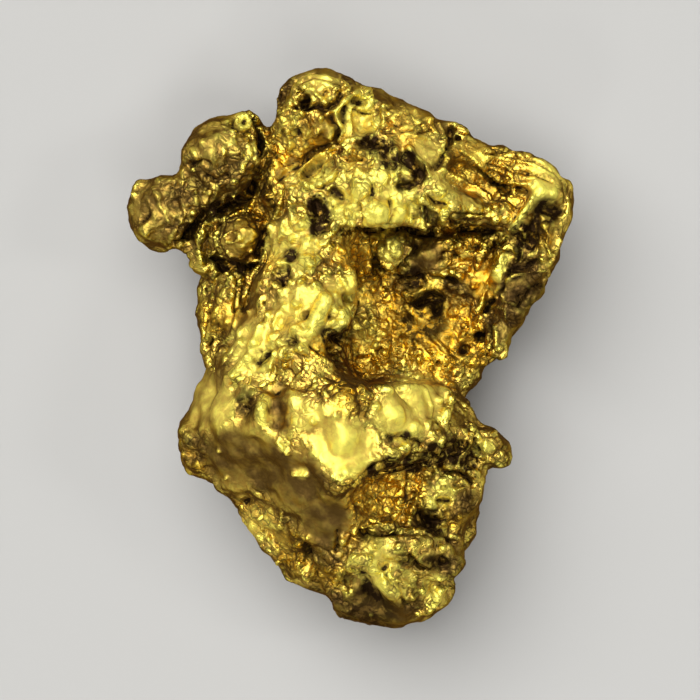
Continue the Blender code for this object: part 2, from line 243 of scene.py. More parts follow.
# A line is (width, height, point, point, ...) in millimetres: it stands up, or is cut in where its height
# is below zero. Points are (x, y) in plan, and each mark lies on whatever is highest there.
LINES = {
    "knob": [
        (0.06, -0.08, (-1.66, 6.10), (-1.62, 6.50), (-1.35, 6.74), (-0.90, 6.88), (-0.40, 6.80),
         (0.00, 6.62)),
        (0.07, 0.07, (-1.36, 6.30), (-1.30, 6.58), (-1.02, 6.78), (-0.60, 6.74), (-0.20, 6.64),
         (-0.05, 6.50)),
        (0.06, 0.06, (-1.15, 6.52), (-0.90, 6.66), (-0.60, 6.60), (-0.30, 6.48)),
        (0.06, 0.06, (-0.95, 6.45), (-0.80, 6.30), (-0.62, 6.10)),
        (0.08, -0.16, (-1.45, 6.08), (-1.15, 6.00), (-0.85, 6.06), (-0.58, 5.98), (-0.35, 6.14),
         (-0.22, 6.36)),
        (0.07, -0.12, (-1.82, 5.75), (-1.76, 6.05), (-1.78, 6.35)),
    ],
    "neck": [
        (0.08, 0.12, (-1.92, 5.02), (-1.74, 5.35), (-1.62, 5.60)),
        (0.09, 0.10, (-1.52, 5.45), (-1.46, 5.20), (-1.52, 4.95)),
        (0.07, -0.12, (-1.32, 5.48), (-1.30, 5.30)),
        (0.08, -0.14, (-0.48, 5.78), (-0.42, 5.62), (-0.30, 5.45), (-0.30, 5.20)),
        (0.06, -0.08, (-1.95, 4.85), (-1.60, 4.62), (-1.20, 4.72), (-0.85, 4.98), (-0.50, 5.10)),
        (0.07, -0.10, (-1.72, 4.25), (-1.50, 4.45), (-1.25, 4.60), (-1.00, 4.78)),
        (0.05, 0.06, (-1.05, 5.70), (-1.00, 5.45), (-1.12, 5.25)),
    ],
    "first plate": [
        (0.20, -0.05, (0.20, 6.15), (0.10, 5.80), (0.30, 5.50)),
        (0.07, 0.20, (0.48, 6.36), (0.20, 6.40), (0.00, 6.26), (-0.20, 6.10), (-0.36, 5.92), (-0.38, 5.75),
         (-0.28, 5.58), (-0.20, 5.38), (-0.20, 5.18), (-0.12, 5.08)),
        (0.06, 0.14, (0.12, 6.08), (0.05, 5.88), (0.00, 5.62), (0.04, 5.40)),
        (0.06, 0.12, (0.12, 6.06), (0.32, 6.00), (0.50, 6.02), (0.50, 6.30)),
        (0.07, 0.12, (0.80, 6.02), (0.86, 5.70), (0.80, 5.42), (0.55, 5.26), (0.20, 5.24), (-0.10, 5.16)),
        (0.06, -0.12, (0.15, 5.98), (0.32, 5.90), (0.50, 5.90)),
        (0.10, -0.16, (0.12, 6.25), (0.28, 6.18)),
        (0.09, -0.18, (-0.14, 6.00), (-0.12, 5.72)),
        (0.06, -0.06, (0.50, 5.62), (0.68, 5.50)),
    ],
    "second plate": [
        (0.16, -0.05, (-0.50, 4.70), (-0.80, 4.45), (-1.02, 4.28)),
        (0.08, 0.17, (-0.30, 5.05), (-0.50, 5.00), (-0.62, 4.86), (-0.86, 4.76), (-1.06, 4.60),
         (-1.26, 4.38), (-1.20, 4.14), (-0.96, 4.02), (-0.70, 4.12), (-0.42, 4.28), (-0.26, 4.50),
         (-0.32, 4.74), (-0.50, 4.90)),
        (0.05, 0.10, (-1.00, 4.30), (-0.80, 4.50), (-0.56, 4.46), (-0.60, 4.30), (-0.84, 4.20),
         (-1.00, 4.30)),
        (0.08, -0.20, (-1.06, 4.42), (-0.90, 4.58), (-0.70, 4.64)),
        (0.08, -0.20, (-0.82, 4.30), (-0.66, 4.36)),
        (0.07, -0.07, (-0.50, 4.72), (-0.42, 4.62)),
    ],
    "orange patch": [
        (0.06, -0.10, (0.90, 5.70), (1.10, 5.60), (1.30, 5.66), (1.60, 5.60), (1.82, 5.66)),
        (0.06, -0.09, (1.30, 5.44), (1.60, 5.50), (1.80, 5.40), (2.02, 5.46)),
        (0.06, -0.08, (1.00, 6.08), (1.20, 6.10), (1.36, 5.98)),
        (0.06, 0.06, (1.00, 5.84), (1.25, 5.78), (1.40, 5.90)),
        (0.06, 0.06, (1.40, 5.34), (1.70, 5.30), (1.95, 5.22)),
        (0.07, 0.07, (2.20, 5.60), (2.36, 5.30), (2.30, 5.06)),
        (0.09, -0.14, (2.52, 5.50), (2.46, 5.20), (2.40, 4.95), (2.20, 4.66), (2.12, 4.55)),
    ],
    "brow": [
        (0.13, -0.13, (0.30, 5.18), (0.50, 5.04), (0.86, 5.04)),
        (0.11, -0.12, (0.80, 4.84), (0.96, 4.72), (1.06, 4.58)),
        (0.12, -0.13, (1.36, 4.76), (1.62, 4.50), (1.76, 4.28)),
        (0.09, -0.10, (1.70, 4.16), (1.45, 4.08), (1.20, 4.04)),
        (0.06, -0.14, (0.00, 4.74), (0.26, 4.74)),
        (0.15, -0.16, (-0.88, 3.64), (-0.74, 3.34), (-0.76, 3.04)),
        (0.10, -0.16, (-0.42, 3.92), (-0.26, 3.80)),
        (0.06, -0.12, (0.42, 3.70), (0.60, 3.86), (0.56, 4.10)),
        (0.05, -0.12, (0.22, 3.60), (0.30, 3.30), (0.25, 3.10)),
        (0.06, -0.12, (1.00, 3.70), (1.00, 3.40), (1.02, 3.20)),
        (0.06, -0.12, (1.70, 3.50), (1.66, 3.26)),
        (0.07, -0.16, (1.80, 3.56), (1.92, 3.36), (1.96, 3.10)),
        (0.06, -0.13, (1.90, 3.80), (2.10, 3.62), (2.40, 3.60)),
        (0.09, 0.12, (1.10, 4.95), (1.16, 4.60), (1.12, 4.15)),
        (0.08, 0.08, (1.45, 4.98), (1.80, 4.60), (1.95, 4.30)),
    ],
    "brow right": [
        (0.06, 0.16, (2.76, 4.94), (3.06, 4.80), (3.30, 4.60), (3.50, 4.36), (3.80, 4.20), (4.10, 4.15),
         (4.48, 4.10)),
        (0.08, -0.22, (3.18, 4.50), (3.36, 4.40), (3.55, 4.22), (3.86, 4.08)),
        (0.08, 0.10, (2.20, 4.50), (2.70, 4.20), (3.10, 4.00), (3.42, 3.80), (3.60, 3.60), (3.62, 3.30)),
        (0.10, 0.20, (4.62, 3.78), (4.42, 3.50), (4.22, 3.25), (4.06, 3.05), (3.86, 2.82), (3.72, 2.75)),
        (0.06, -0.10, (3.40, 4.92), (4.00, 4.85), (4.60, 4.74), (5.00, 4.50)),
        (0.05, 0.06, (3.45, 4.80), (4.00, 4.74), (4.55, 4.62), (4.95, 4.38)),
        (0.05, -0.08, (3.35, 4.62), (3.90, 4.48), (4.60, 4.36), (5.00, 4.20)),
        (0.05, -0.06, (5.05, 4.46), (5.30, 4.20), (5.40, 3.80), (5.34, 3.40)),
        (0.08, -0.22, (2.38, 3.14), (2.60, 3.32), (3.00, 3.34), (3.42, 3.44)),
        (0.05, 0.08, (2.60, 3.18), (2.90, 3.22), (3.20, 3.16)),
        (0.07, -0.16, (2.70, 3.05), (3.00, 3.05), (3.40, 3.00), (3.70, 2.92)),
        (0.08, 0.12, (2.32, 3.46), (2.30, 3.24), (2.20, 3.02)),
        (0.07, -0.14, (4.16, 3.98), (4.36, 3.92)),
        (0.09, -0.10, (3.70, 4.00), (3.95, 3.92)),
    ],
    "arm": [
        (0.14, -0.18, (4.62, 3.55), (4.90, 3.52), (5.20, 3.42)),
        (0.10, -0.12, (4.60, 3.30), (4.52, 3.00), (4.48, 2.60)),
        (0.12, -0.18, (4.10, 2.86), (4.20, 2.55), (4.06, 2.25)),
        (0.08, -0.14, (4.00, 2.05), (4.40, 2.06), (4.60, 2.16)),
        (0.05, 0.10, (3.88, 1.70), (4.10, 1.86), (4.50, 1.96), (4.90, 2.00)),
        (0.05, -0.14, (4.92, 1.86), (4.76, 1.62), (4.50, 1.54), (4.36, 1.30), (4.20, 1.10)),
        (0.12, 0.24, (3.98, 2.60), (3.90, 2.24), (3.72, 1.96), (3.58, 1.58)),
        (0.09, 0.18, (3.66, 2.02), (3.46, 1.76), (3.36, 1.50), (3.30, 1.20), (3.20, 1.00)),
        (0.05, -0.12, (3.56, 1.86), (3.50, 1.60)),
        (0.06, -0.22, (4.02, 2.74), (3.98, 2.30), (3.96, 2.00), (3.80, 1.70), (3.68, 1.40), (3.40, 1.02)),
        (0.05, 0.07, (3.40, 1.00), (3.62, 1.10), (3.86, 1.02), (3.90, 0.80)),
        (0.05, 0.06, (3.76, 1.40), (3.86, 1.20), (4.06, 1.16)),
        (0.07, 0.14, (3.66, 0.60), (3.64, 0.40), (3.60, 0.16)),
        (0.06, -0.16, (3.48, 0.72), (3.52, 0.40), (3.50, 0.10), (3.46, -0.10)),
        (0.06, 0.12, (5.20, 2.74), (5.06, 2.52)),
        (0.06, -0.14, (5.12, 2.46), (5.00, 2.24)),
        (0.06, 0.08, (4.72, 3.12), (4.90, 2.90), (4.86, 2.60), (4.98, 2.36)),
        (0.30, -0.08, (4.60, 2.90), (4.50, 2.30)),
    ],
    "cavity": [
        (0.09, -0.22, (-0.15, 3.04), (0.30, 3.05), (0.80, 3.04), (1.40, 3.05), (1.80, 2.96), (2.20, 2.92)),
        (0.10, -0.34, (0.62, 2.66), (0.62, 2.36), (0.72, 2.04)),
        (0.10, 0.34, (0.90, 2.84), (0.80, 2.50), (0.90, 2.22), (1.04, 2.08)),
        (0.16, 0.12, (1.05, 2.70), (1.20, 2.45)),
        (0.05, 0.12, (1.02, 2.06), (1.30, 2.30), (1.50, 2.52)),
        (0.07, -0.18, (1.10, 2.00), (1.36, 2.16), (1.58, 2.40), (1.70, 2.70)),
        (0.05, 0.10, (2.50, 2.55), (2.70, 2.64), (2.86, 2.76)),
        (0.06, 0.10, (2.36, 1.90), (2.60, 2.00), (2.76, 1.92), (2.80, 1.76)),
        (0.08, -0.20, (0.60, 1.98), (0.90, 1.94), (1.20, 1.80), (1.50, 1.80), (1.80, 1.84), (2.20, 1.78),
         (2.60, 1.72)),
        (0.09, 0.28, (1.60, 1.36), (1.80, 1.50), (2.00, 1.62), (2.30, 1.62)),
        (0.11, -0.30, (1.70, 1.20), (2.00, 1.34), (2.22, 1.26), (2.20, 1.00)),
        (0.06, 0.10, (1.40, 1.40), (1.46, 1.22), (1.60, 1.16)),
        (0.05, 0.10, (0.45, 1.02), (0.60, 0.80), (0.70, 0.50), (0.82, 0.40)),
        (0.05, 0.09, (0.36, 0.74), (0.50, 0.60), (0.52, 0.42)),
        (0.05, 0.09, (0.62, 0.10), (0.86, 0.12), (0.86, -0.16)),
        (0.05, 0.08, (0.56, -0.06), (0.62, -0.20), (0.80, -0.50)),
        (0.05, 0.08, (2.06, 0.34), (2.30, 0.06), (2.40, -0.06)),
        (0.05, 0.08, (1.36, -0.10), (1.40, -0.26)),
        (0.06, -0.12, (-0.10, 0.90), (0.20, 1.00), (0.24, 1.60), (0.10, 2.02)),
    ],
    "middle": [
        (0.07, 0.08, (-1.72, 4.20), (-1.68, 3.90), (-1.74, 3.50), (-1.86, 3.20), (-2.00, 2.90),
         (-2.04, 2.60), (-2.15, 2.20)),
        (0.08, -0.20, (-1.98, 3.66), (-2.00, 3.30), (-2.10, 3.05), (-2.16, 2.75), (-2.30, 2.40)),
        (0.07, 0.07, (-2.24, 2.04), (-2.42, 1.88), (-2.62, 1.50), (-2.72, 1.10), (-2.86, 0.60)),
        (0.09, 0.13, (-1.42, 3.50), (-1.40, 3.20)),
        (0.08, 0.10, (-1.62, 3.14), (-1.74, 2.72)),
        (0.10, 0.15, (-0.34, 3.18), (-0.48, 2.90), (-0.72, 2.58)),
        (0.11, -0.20, (-1.60, 2.00), (-1.70, 1.66)),
        (0.17, 0.18, (-0.62, 1.22), (-0.84, 0.76), (-1.00, 0.36)),
        (0.09, 0.12, (-1.74, 0.90), (-1.84, 0.60)),
        (0.10, 0.12, (-2.20, 0.56), (-2.30, 0.20)),
        (0.12, 0.12, (-2.50, -0.20), (-2.90, -0.60)),
        (0.12, -0.20, (-2.05, -0.08), (-2.30, -0.32)),
        (0.07, 0.10, (-1.84, -0.08), (-1.96, -0.42)),
        (0.12, -0.20, (-0.52, 0.36), (-0.22, 0.22), (-0.04, 0.32)),
        (0.10, -0.16, (-0.98, 0.14), (-0.70, -0.02), (-0.40, 0.02)),
        (0.07, 0.09, (-0.30, 1.86), (-0.14, 1.60), (-0.06, 1.30)),
        (0.16, 0.10, (0.00, 1.90), (0.02, 1.50), (-0.02, 1.10), (-0.14, 0.70)),
    ],
    "front": [
        (0.20, 0.06, (-1.40, -1.06), (-1.30, -1.80)),
        (0.14, 0.07, (-2.16, -1.36), (-2.14, -1.80)),
        (0.18, -0.08, (-1.80, -1.00), (-1.76, -1.80)),
        (0.05, -0.16, (0.98, -2.12), (1.30, -2.08), (1.60, -2.18), (1.78, -2.36)),
        (0.08, 0.12, (2.36, -1.64), (2.46, -1.20)),
        (0.07, 0.12, (2.26, -2.20), (2.14, -2.52)),
        (0.24, 0.05, (-3.60, -1.90), (-2.80, -1.94), (-2.10, -2.06), (-1.50, -2.04), (-1.00, -2.26),
         (-0.60, -2.70)),
        (0.09, -0.26, (0.10, -3.26), (0.42, -3.00), (0.80, -2.82), (1.20, -2.80), (1.60, -2.66),
         (1.90, -2.60), (2.30, -2.60), (2.60, -2.38), (2.82, -2.34)),
        (0.16, 0.06, (0.10, -3.04), (0.42, -2.78), (0.80, -2.60), (1.10, -2.56)),
        (0.08, 0.11, (-1.74, -2.26), (-1.54, -2.52)),
        (0.09, 0.13, (-1.34, -3.02), (-1.04, -3.04)),
        (0.05, -0.08, (2.84, -1.40), (2.90, -1.80), (3.06, -2.04), (3.30, -2.10)),
        (0.07, -0.16, (3.14, -2.14), (3.10, -2.36), (3.24, -2.56)),
        (0.07, 0.12, (3.34, -2.26), (3.38, -2.46)),
        (0.06, 0.06, (1.86, -1.00), (2.00, -1.40), (1.92, -1.90)),
    ],
    "recess": [
        (0.08, 0.04, (1.02, -3.20), (0.90, -3.70), (0.96, -4.20)),
        (0.08, 0.05, (0.62, -3.60), (0.50, -4.30)),
        (0.09, -0.05, (0.46, -3.10), (0.40, -3.80)),
        (0.08, 0.05, (1.32, -3.30), (1.18, -3.95)),
        (0.08, -0.10, (1.46, -3.10), (1.40, -3.80)),
        (0.08, 0.12, (1.62, -3.60), (1.52, -4.02), (1.46, -4.30)),
        (0.06, 0.09, (1.76, -3.10), (1.84, -3.44)),
        (0.09, 0.14, (2.36, -3.40), (2.60, -3.52), (2.84, -3.44)),
        (0.05, 0.10, (0.30, -4.40), (0.70, -4.36), (1.12, -4.34)),
        (0.07, -0.22, (0.30, -4.50), (0.80, -4.54), (1.40, -4.48), (1.80, -4.54)),
        (0.18, -0.24, (1.76, -4.15), (2.04, -4.30)),
        (0.08, -0.16, (2.20, -3.76), (2.44, -3.78)),
        (0.08, -0.16, (2.30, -3.10), (2.80, -3.00), (3.10, -3.30)),
    ],
    "tip": [
        (0.10, -0.30, (-1.10, -4.86), (-1.04, -5.30)),
        (0.07, 0.12, (-1.26, -5.34), (-1.14, -5.50), (-1.02, -5.72)),
        (0.07, 0.10, (-2.00, -4.70), (-1.76, -5.00)),
        (0.06, 0.09, (-1.66, -4.02), (-1.72, -4.36)),
        (0.08, -0.12, (-2.50, -3.74), (-2.64, -3.86)),
        (0.07, -0.20, (1.50, -5.12), (1.64, -5.38), (1.86, -5.50)),
        (0.13, 0.22, (0.05, -5.36), (0.14, -5.14), (0.40, -5.14)),
        (0.11, 0.18, (0.50, -5.24), (0.60, -5.40), (0.78, -5.52)),
        (0.14, 0.22, (0.82, -5.74), (0.92, -5.88), (1.08, -6.02)),
        (0.18, -0.16, (0.30, -5.60), (0.50, -5.96), (0.70, -6.30)),
        (0.08, 0.12, (1.00, -5.64), (1.40, -5.80), (1.80, -6.00)),
        (0.14, 0.20, (2.42, -5.72), (2.12, -6.10), (1.90, -6.42)),
        (0.06, -0.10, (-0.30, -4.50), (-0.34, -5.00)),
        (0.06, 0.08, (-0.20, -5.44), (-0.36, -5.86)),
        (0.06, -0.12, (-0.82, -5.50), (-0.84, -5.84)),
        (0.08, -0.12, (1.30, -6.20), (1.44, -6.40)),
        (0.10, -0.14, (2.30, -4.60), (2.50, -4.80)),
    ],
    "ear": [
        (0.06, 0.16, (-2.48, 5.66), (-2.54, 5.78), (-2.66, 5.82), (-2.80, 5.74), (-2.82, 5.60),
         (-2.68, 5.50), (-2.54, 5.54), (-2.48, 5.66)),
        (0.07, -0.10, (-2.40, 5.66), (-2.46, 5.86), (-2.66, 5.95), (-2.86, 5.86), (-2.94, 5.66),
         (-2.84, 5.46), (-2.64, 5.40), (-2.44, 5.48), (-2.40, 5.66)),
        (0.06, 0.14, (-2.52, 5.40), (-2.44, 5.20), (-2.40, 5.00), (-2.32, 4.88), (-2.40, 4.74)),
        (0.06, 0.14, (-2.50, 4.86), (-2.64, 4.62), (-2.66, 4.44)),
        (0.05, 0.08, (-3.14, 5.00), (-3.16, 4.62)),
        (0.05, 0.07, (-2.60, 5.30), (-2.56, 5.10), (-2.50, 4.96)),
        (0.08, -0.34, (-2.30, 5.72), (-2.24, 5.40), (-2.24, 5.00), (-2.30, 4.60), (-2.40, 4.20),
         (-2.48, 3.96)),
        (0.09, -0.24, (-2.55, 3.76), (-2.90, 3.68), (-3.20, 3.48), (-3.44, 3.44)),
        (0.06, -0.10, (-3.95, 4.60), (-3.70, 4.72), (-3.50, 4.60)),
        (0.06, -0.10, (-3.55, 4.30), (-3.30, 4.20), (-3.06, 4.32)),
        (0.05, 0.07, (-3.90, 4.98), (-3.75, 4.80), (-3.80, 4.60)),
        (0.06, -0.10, (-3.60, 4.00), (-3.40, 3.90), (-3.45, 3.70)),
    ],
    "left ball": [
        (0.06, 0.05, (-4.90, 4.02), (-4.76, 3.80), (-4.74, 3.60), (-4.56, 3.36), (-4.52, 3.20)),
        (0.06, 0.04, (-4.60, 3.62), (-4.52, 3.46), (-4.36, 3.30)),
        (0.06, 0.03, (-4.50, 4.16), (-4.26, 3.94), (-4.14, 3.50)),
        (0.08, 0.03, (-5.14, 3.98), (-5.00, 3.62), (-4.90, 3.34)),
        (0.08, -0.03, (-4.40, 4.00), (-4.38, 3.66), (-4.20, 3.36)),
        (0.10, -0.08, (-5.04, 3.40), (-5.20, 3.26)),
        (0.08, -0.24, (-3.74, 3.42), (-3.90, 3.12), (-4.10, 2.86), (-4.40, 2.62)),
        (0.05, 0.06, (-4.20, 3.20), (-4.40, 2.95), (-4.50, 2.72)),
    ],
    "bead": [
        (0.07, -0.24, (-3.34, 2.90), (-3.38, 2.64), (-3.26, 2.36), (-3.00, 2.14), (-2.60, 2.02),
         (-2.30, 2.12)),
        (0.07, -0.20, (-2.12, 3.05), (-2.08, 2.72), (-2.20, 2.36)),
        (0.06, -0.12, (-3.32, 3.10), (-3.05, 3.36), (-2.60, 3.42), (-2.30, 3.30)),
        (0.05, 0.07, (-3.10, 2.82), (-2.96, 2.94), (-2.78, 2.90), (-2.72, 2.76), (-2.86, 2.68),
         (-3.04, 2.70)),
        (0.05, 0.07, (-3.04, 2.46), (-2.96, 2.36)),
        (0.07, 0.14, (-3.34, 3.28), (-3.60, 3.10), (-3.74, 2.80), (-3.78, 2.50), (-3.68, 2.20)),
        (0.05, -0.10, (-3.50, 3.05), (-3.58, 2.80), (-3.58, 2.45), (-3.50, 2.20)),
        (0.10, -0.26, (-3.42, 2.22), (-3.16, 2.08), (-2.76, 1.98)),
    ],
    "left strip": [
        (0.06, -0.18, (-3.44, 1.30), (-3.42, 1.60), (-3.30, 1.86), (-3.00, 2.00), (-2.76, 1.84),
         (-2.76, 1.40), (-2.86, 1.00)),
        (0.05, 0.07, (-3.36, 1.44), (-3.30, 1.74), (-3.04, 1.90)),
        (0.06, -0.12, (-3.62, 1.90), (-3.66, 1.40), (-3.56, 0.90), (-3.62, 0.40)),
        (0.06, 0.08, (-3.50, 1.04), (-3.46, 1.16)),
        (0.09, -0.16, (-3.50, 0.26), (-3.62, 0.10)),
        (0.05, 0.08, (-3.40, 0.50), (-3.16, 0.56)),
        (0.06, -0.10, (-3.30, 0.30), (-3.05, 0.10), (-3.10, -0.20)),
        (0.06, -0.10, (-3.50, -0.20), (-3.40, -0.50)),
    ],
}

# A spot is (x, y, width, height): a bump, or a pit where its height is below zero.
SPOTS = {
    "knob": [
        (-1.30, 6.42, 0.09, 0.12), (-0.14, 6.54, 0.08, 0.08), (-0.65, 6.14, 0.11, 0.10),
        (-1.14, 6.20, 0.12, -0.30), (-0.20, 6.40, 0.08, -0.12), (-0.60, 6.38, 0.08, -0.08)],
    "neck": [
        (-1.20, 5.86, 0.10, 0.14), (-0.74, 5.74, 0.10, 0.12), (-0.46, 5.36, 0.18, 0.12),
        (-1.80, 4.74, 0.14, 0.10), (-1.36, 5.40, 0.09, -0.16), (-1.10, 5.10, 0.09, 0.08),
        (-0.95, 5.20, 0.08, -0.08), (-1.50, 5.88, 0.10, -0.10)],
    "orange patch": [
        (1.94, 5.66, 0.13, 0.14), (1.60, 5.90, 0.10, 0.10), (1.28, 5.86, 0.07, 0.07)],
    "brow": [
        (0.14, 4.86, 0.12, 0.14), (0.24, 4.42, 0.10, 0.10), (0.25, 3.96, 0.22, 0.14),
        (0.75, 3.42, 0.24, 0.20), (1.22, 3.42, 0.22, 0.20), (1.52, 3.26, 0.12, 0.15),
        (0.00, 3.38, 0.17, 0.18), (0.33, 3.36, 0.10, 0.12), (-0.32, 3.42, 0.14, 0.13),
        (-0.22, 3.18, 0.10, 0.12), (2.26, 3.94, 0.20, 0.12), (1.80, 3.70, 0.14, 0.13),
        (0.70, 4.86, 0.07, 0.10), (1.46, 4.94, 0.10, 0.10), (1.84, 4.54, 0.12, 0.09),
        (0.86, 4.30, 0.12, 0.10), (-0.50, 3.94, 0.07, 0.08), (-1.42, 4.06, 0.12, 0.08),
        (-1.40, 3.82, 0.12, 0.08)],
    "brow right": [
        (2.70, 5.30, 0.06, -0.16), (2.86, 5.42, 0.08, 0.08), (4.12, 3.90, 0.09, 0.14),
        (3.96, 3.80, 0.07, 0.10), (3.20, 3.66, 0.14, 0.08), (3.62, 3.24, 0.10, 0.10),
        (2.34, 3.40, 0.12, 0.14), (4.70, 3.96, 0.20, 0.08), (5.05, 3.90, 0.16, 0.06)],
    "arm": [
        (4.34, 2.30, 0.09, 0.16), (4.34, 2.95, 0.08, 0.12), (4.66, 2.62, 0.10, 0.10),
        (4.44, 1.56, 0.06, 0.08), (4.24, 1.32, 0.07, -0.14), (4.84, 3.10, 0.09, 0.08)],
    "cavity": [
        (3.25, 0.32, 0.13, -0.36), (2.86, 0.00, 0.08, -0.22), (2.22, -0.33, 0.08, -0.22),
        (1.30, -0.45, 0.07, -0.20), (2.30, 2.22, 0.08, -0.18), (2.36, 2.42, 0.07, -0.16),
        (2.64, 2.32, 0.08, -0.18), (3.10, 2.62, 0.11, -0.24), (2.66, 2.90, 0.07, 0.14),
        (2.82, 2.86, 0.06, 0.12), (1.42, 2.42, 0.06, 0.12), (2.72, 1.84, 0.09, 0.16),
        (2.56, 1.96, 0.08, 0.12), (3.10, 1.60, 0.07, 0.12), (2.08, 0.74, 0.07, 0.12),
        (0.50, 0.90, 0.08, 0.12), (0.30, 0.44, 0.08, 0.12), (0.40, 0.26, 0.07, 0.10),
        (1.66, 0.20, 0.07, 0.10), (2.76, 0.20, 0.07, 0.10), (1.74, -0.24, 0.07, 0.10),
        (2.90, 0.62, 0.07, 0.10), (3.38, -0.30, 0.07, 0.10), (2.84, 0.36, 0.09, 0.10),
        (0.66, -0.30, 0.09, 0.10), (0.40, -0.64, 0.08, 0.12), (0.56, 1.50, 0.09, 0.10),
        (0.20, 1.86, 0.09, 0.10)],
    "middle": [
        (-1.42, 2.74, 0.11, 0.14), (-0.50, 2.50, 0.12, 0.15), (-1.00, 2.14, 0.18, 0.20),
        (-1.15, 2.24, 0.08, 0.12), (-1.46, 2.32, 0.11, -0.18), (-2.14, 1.16, 0.05, -0.12),
        (-1.30, 0.46, 0.16, 0.18), (-1.30, 1.14, 0.12, 0.14), (-0.42, 0.66, 0.11, 0.14),
        (-1.10, 0.86, 0.10, -0.16), (-1.40, 0.24, 0.11, -0.18), (-2.36, 0.12, 0.15, 0.14),
        (-1.64, -0.10, 0.12, 0.15), (-1.20, 0.00, 0.11, 0.13), (-1.70, 2.14, 0.11, 0.14),
        (-1.46, 1.66, 0.09, 0.14), (-1.86, 1.90, 0.09, 0.13), (-1.86, 1.62, 0.09, 0.12),
        (-1.70, 1.44, 0.09, 0.12), (-2.16, 1.64, 0.11, 0.14), (-0.60, 1.80, 0.12, 0.12),
        (-0.40, 1.34, 0.11, 0.12), (-0.14, 1.14, 0.10, 0.12), (-0.20, 0.90, 0.10, 0.11),
        (-1.72, 0.18, 0.10, 0.12), (-1.56, -0.36, 0.10, 0.12), (-0.20, 2.42, 0.09, 0.12),
        (0.02, 2.16, 0.08, 0.10), (-1.62, 2.96, 0.12, 0.13), (-1.20, 3.10, 0.11, 0.12),
        (-1.00, 2.76, 0.10, 0.12), (-2.00, 0.86, 0.12, 0.12), (-1.60, 1.06, 0.10, 0.12),
        (-2.44, 0.90, 0.12, 0.12), (-1.90, 0.30, 0.10, 0.12), (-0.86, 1.60, 0.12, 0.12),
        (-1.20, 1.66, 0.10, 0.12), (-0.30, 2.06, 0.11, 0.12), (-0.70, 0.30, 0.10, 0.10),
        (-2.70, 0.16, 0.12, 0.10)],
    "front": [
        (-0.10, -2.30, 0.36, 0.10), (-0.12, -3.00, 0.16, 0.10), (1.16, -1.60, 0.26, 0.12),
        (1.60, -1.90, 0.16, 0.10), (1.35, -2.40, 0.15, 0.16), (-2.65, -1.40, 0.20, -0.20),
        (-2.80, -0.60, 0.18, 0.08), (2.20, -1.25, 0.10, 0.12), (-3.20, -2.46, 0.07, 0.09),
        (-3.74, -2.84, 0.12, 0.10), (-4.10, -2.60, 0.09, 0.08), (-3.06, -3.16, 0.06, 0.09),
        (-0.90, -1.74, 0.10, 0.10), (-0.36, -1.62, 0.12, 0.10), (-0.60, -1.10, 0.10, 0.10),
        (0.30, -1.00, 0.14, 0.10), (0.96, -1.00, 0.10, 0.10), (0.66, -1.40, 0.10, 0.08),
        (2.20, -1.80, 0.10, -0.10), (3.00, -2.10, 0.09, 0.10), (0.66, -2.24, 0.16, 0.06)],
    "recess": [
        (1.36, -3.76, 0.08, 0.13), (2.00, -3.30, 0.08, 0.13), (2.16, -3.62, 0.08, 0.14),
        (2.36, -3.94, 0.08, 0.12), (0.68, -4.26, 0.07, 0.10), (1.30, -3.36, 0.06, 0.09),
        (1.80, -4.38, 0.07, 0.10), (2.66, -2.90, 0.09, 0.09), (2.70, -4.14, 0.09, 0.10)],
    "tip": [
        (0.08, -4.50, 0.08, 0.13), (0.64, -4.86, 0.09, 0.12), (2.22, -4.96, 0.10, 0.14),
        (2.64, -4.66, 0.09, 0.10), (2.40, -5.26, 0.16, -0.24), (1.02, -5.42, 0.11, 0.14),
        (1.12, -6.00, 0.13, 0.12), (1.50, -6.12, 0.09, 0.12), (1.66, -6.32, 0.09, -0.18),
        (1.68, -6.50, 0.09, 0.12), (0.02, -6.02, 0.11, 0.12), (-0.20, -4.72, 0.10, 0.09),
        (-2.18, -4.50, 0.06, 0.09), (-2.20, -4.18, 0.06, 0.09), (0.54, -6.58, 0.08, 0.08),
        (1.20, -4.90, 0.08, 0.10), (-1.80, -5.30, 0.06, 0.08), (-1.04, -4.64, 0.07, 0.08)],
    "ear": [
        (-2.66, 5.66, 0.08, -0.18), (-2.90, 5.32, 0.12, 0.10), (-3.16, 4.86, 0.08, 0.07),
        (-2.86, 4.20, 0.08, 0.10), (-3.20, 3.78, 0.10, 0.12), (-2.90, 3.90, 0.07, 0.12),
        (-2.62, 3.92, 0.07, 0.12), (-3.06, 3.50, 0.10, -0.26), (-2.10, 5.20, 0.10, 0.10),
        (-2.12, 4.30, 0.10, 0.08), (-2.00, 3.86, 0.10, 0.10), (-3.62, 5.14, 0.10, 0.07),
        (-3.42, 3.84, 0.07, 0.09), (-3.84, 3.94, 0.07, 0.09), (-3.88, 4.50, 0.08, 0.07)],
    "left ball": [
        (-5.36, 3.86, 0.09, 0.09), (-5.06, 2.90, 0.08, 0.07), (-3.90, 3.44, 0.08, 0.10),
        (-4.30, 4.24, 0.08, 0.06), (-4.14, 2.92, 0.08, -0.14)],
    "bead": [
        (-3.28, 3.20, 0.08, 0.12), (-2.46, 2.96, 0.08, 0.06), (-2.50, 2.50, 0.07, 0.07),
        (-2.30, 2.16, 0.07, 0.10), (-3.36, 2.10, 0.08, 0.08)],
    "left strip": [
        (-2.96, 1.76, 0.08, 0.10), (-3.30, 0.86, 0.13, 0.10), (-3.06, 0.70, 0.09, 0.08),
        (-3.56, 0.12, 0.09, -0.14), (-3.56, 1.66, 0.08, 0.08)],
}

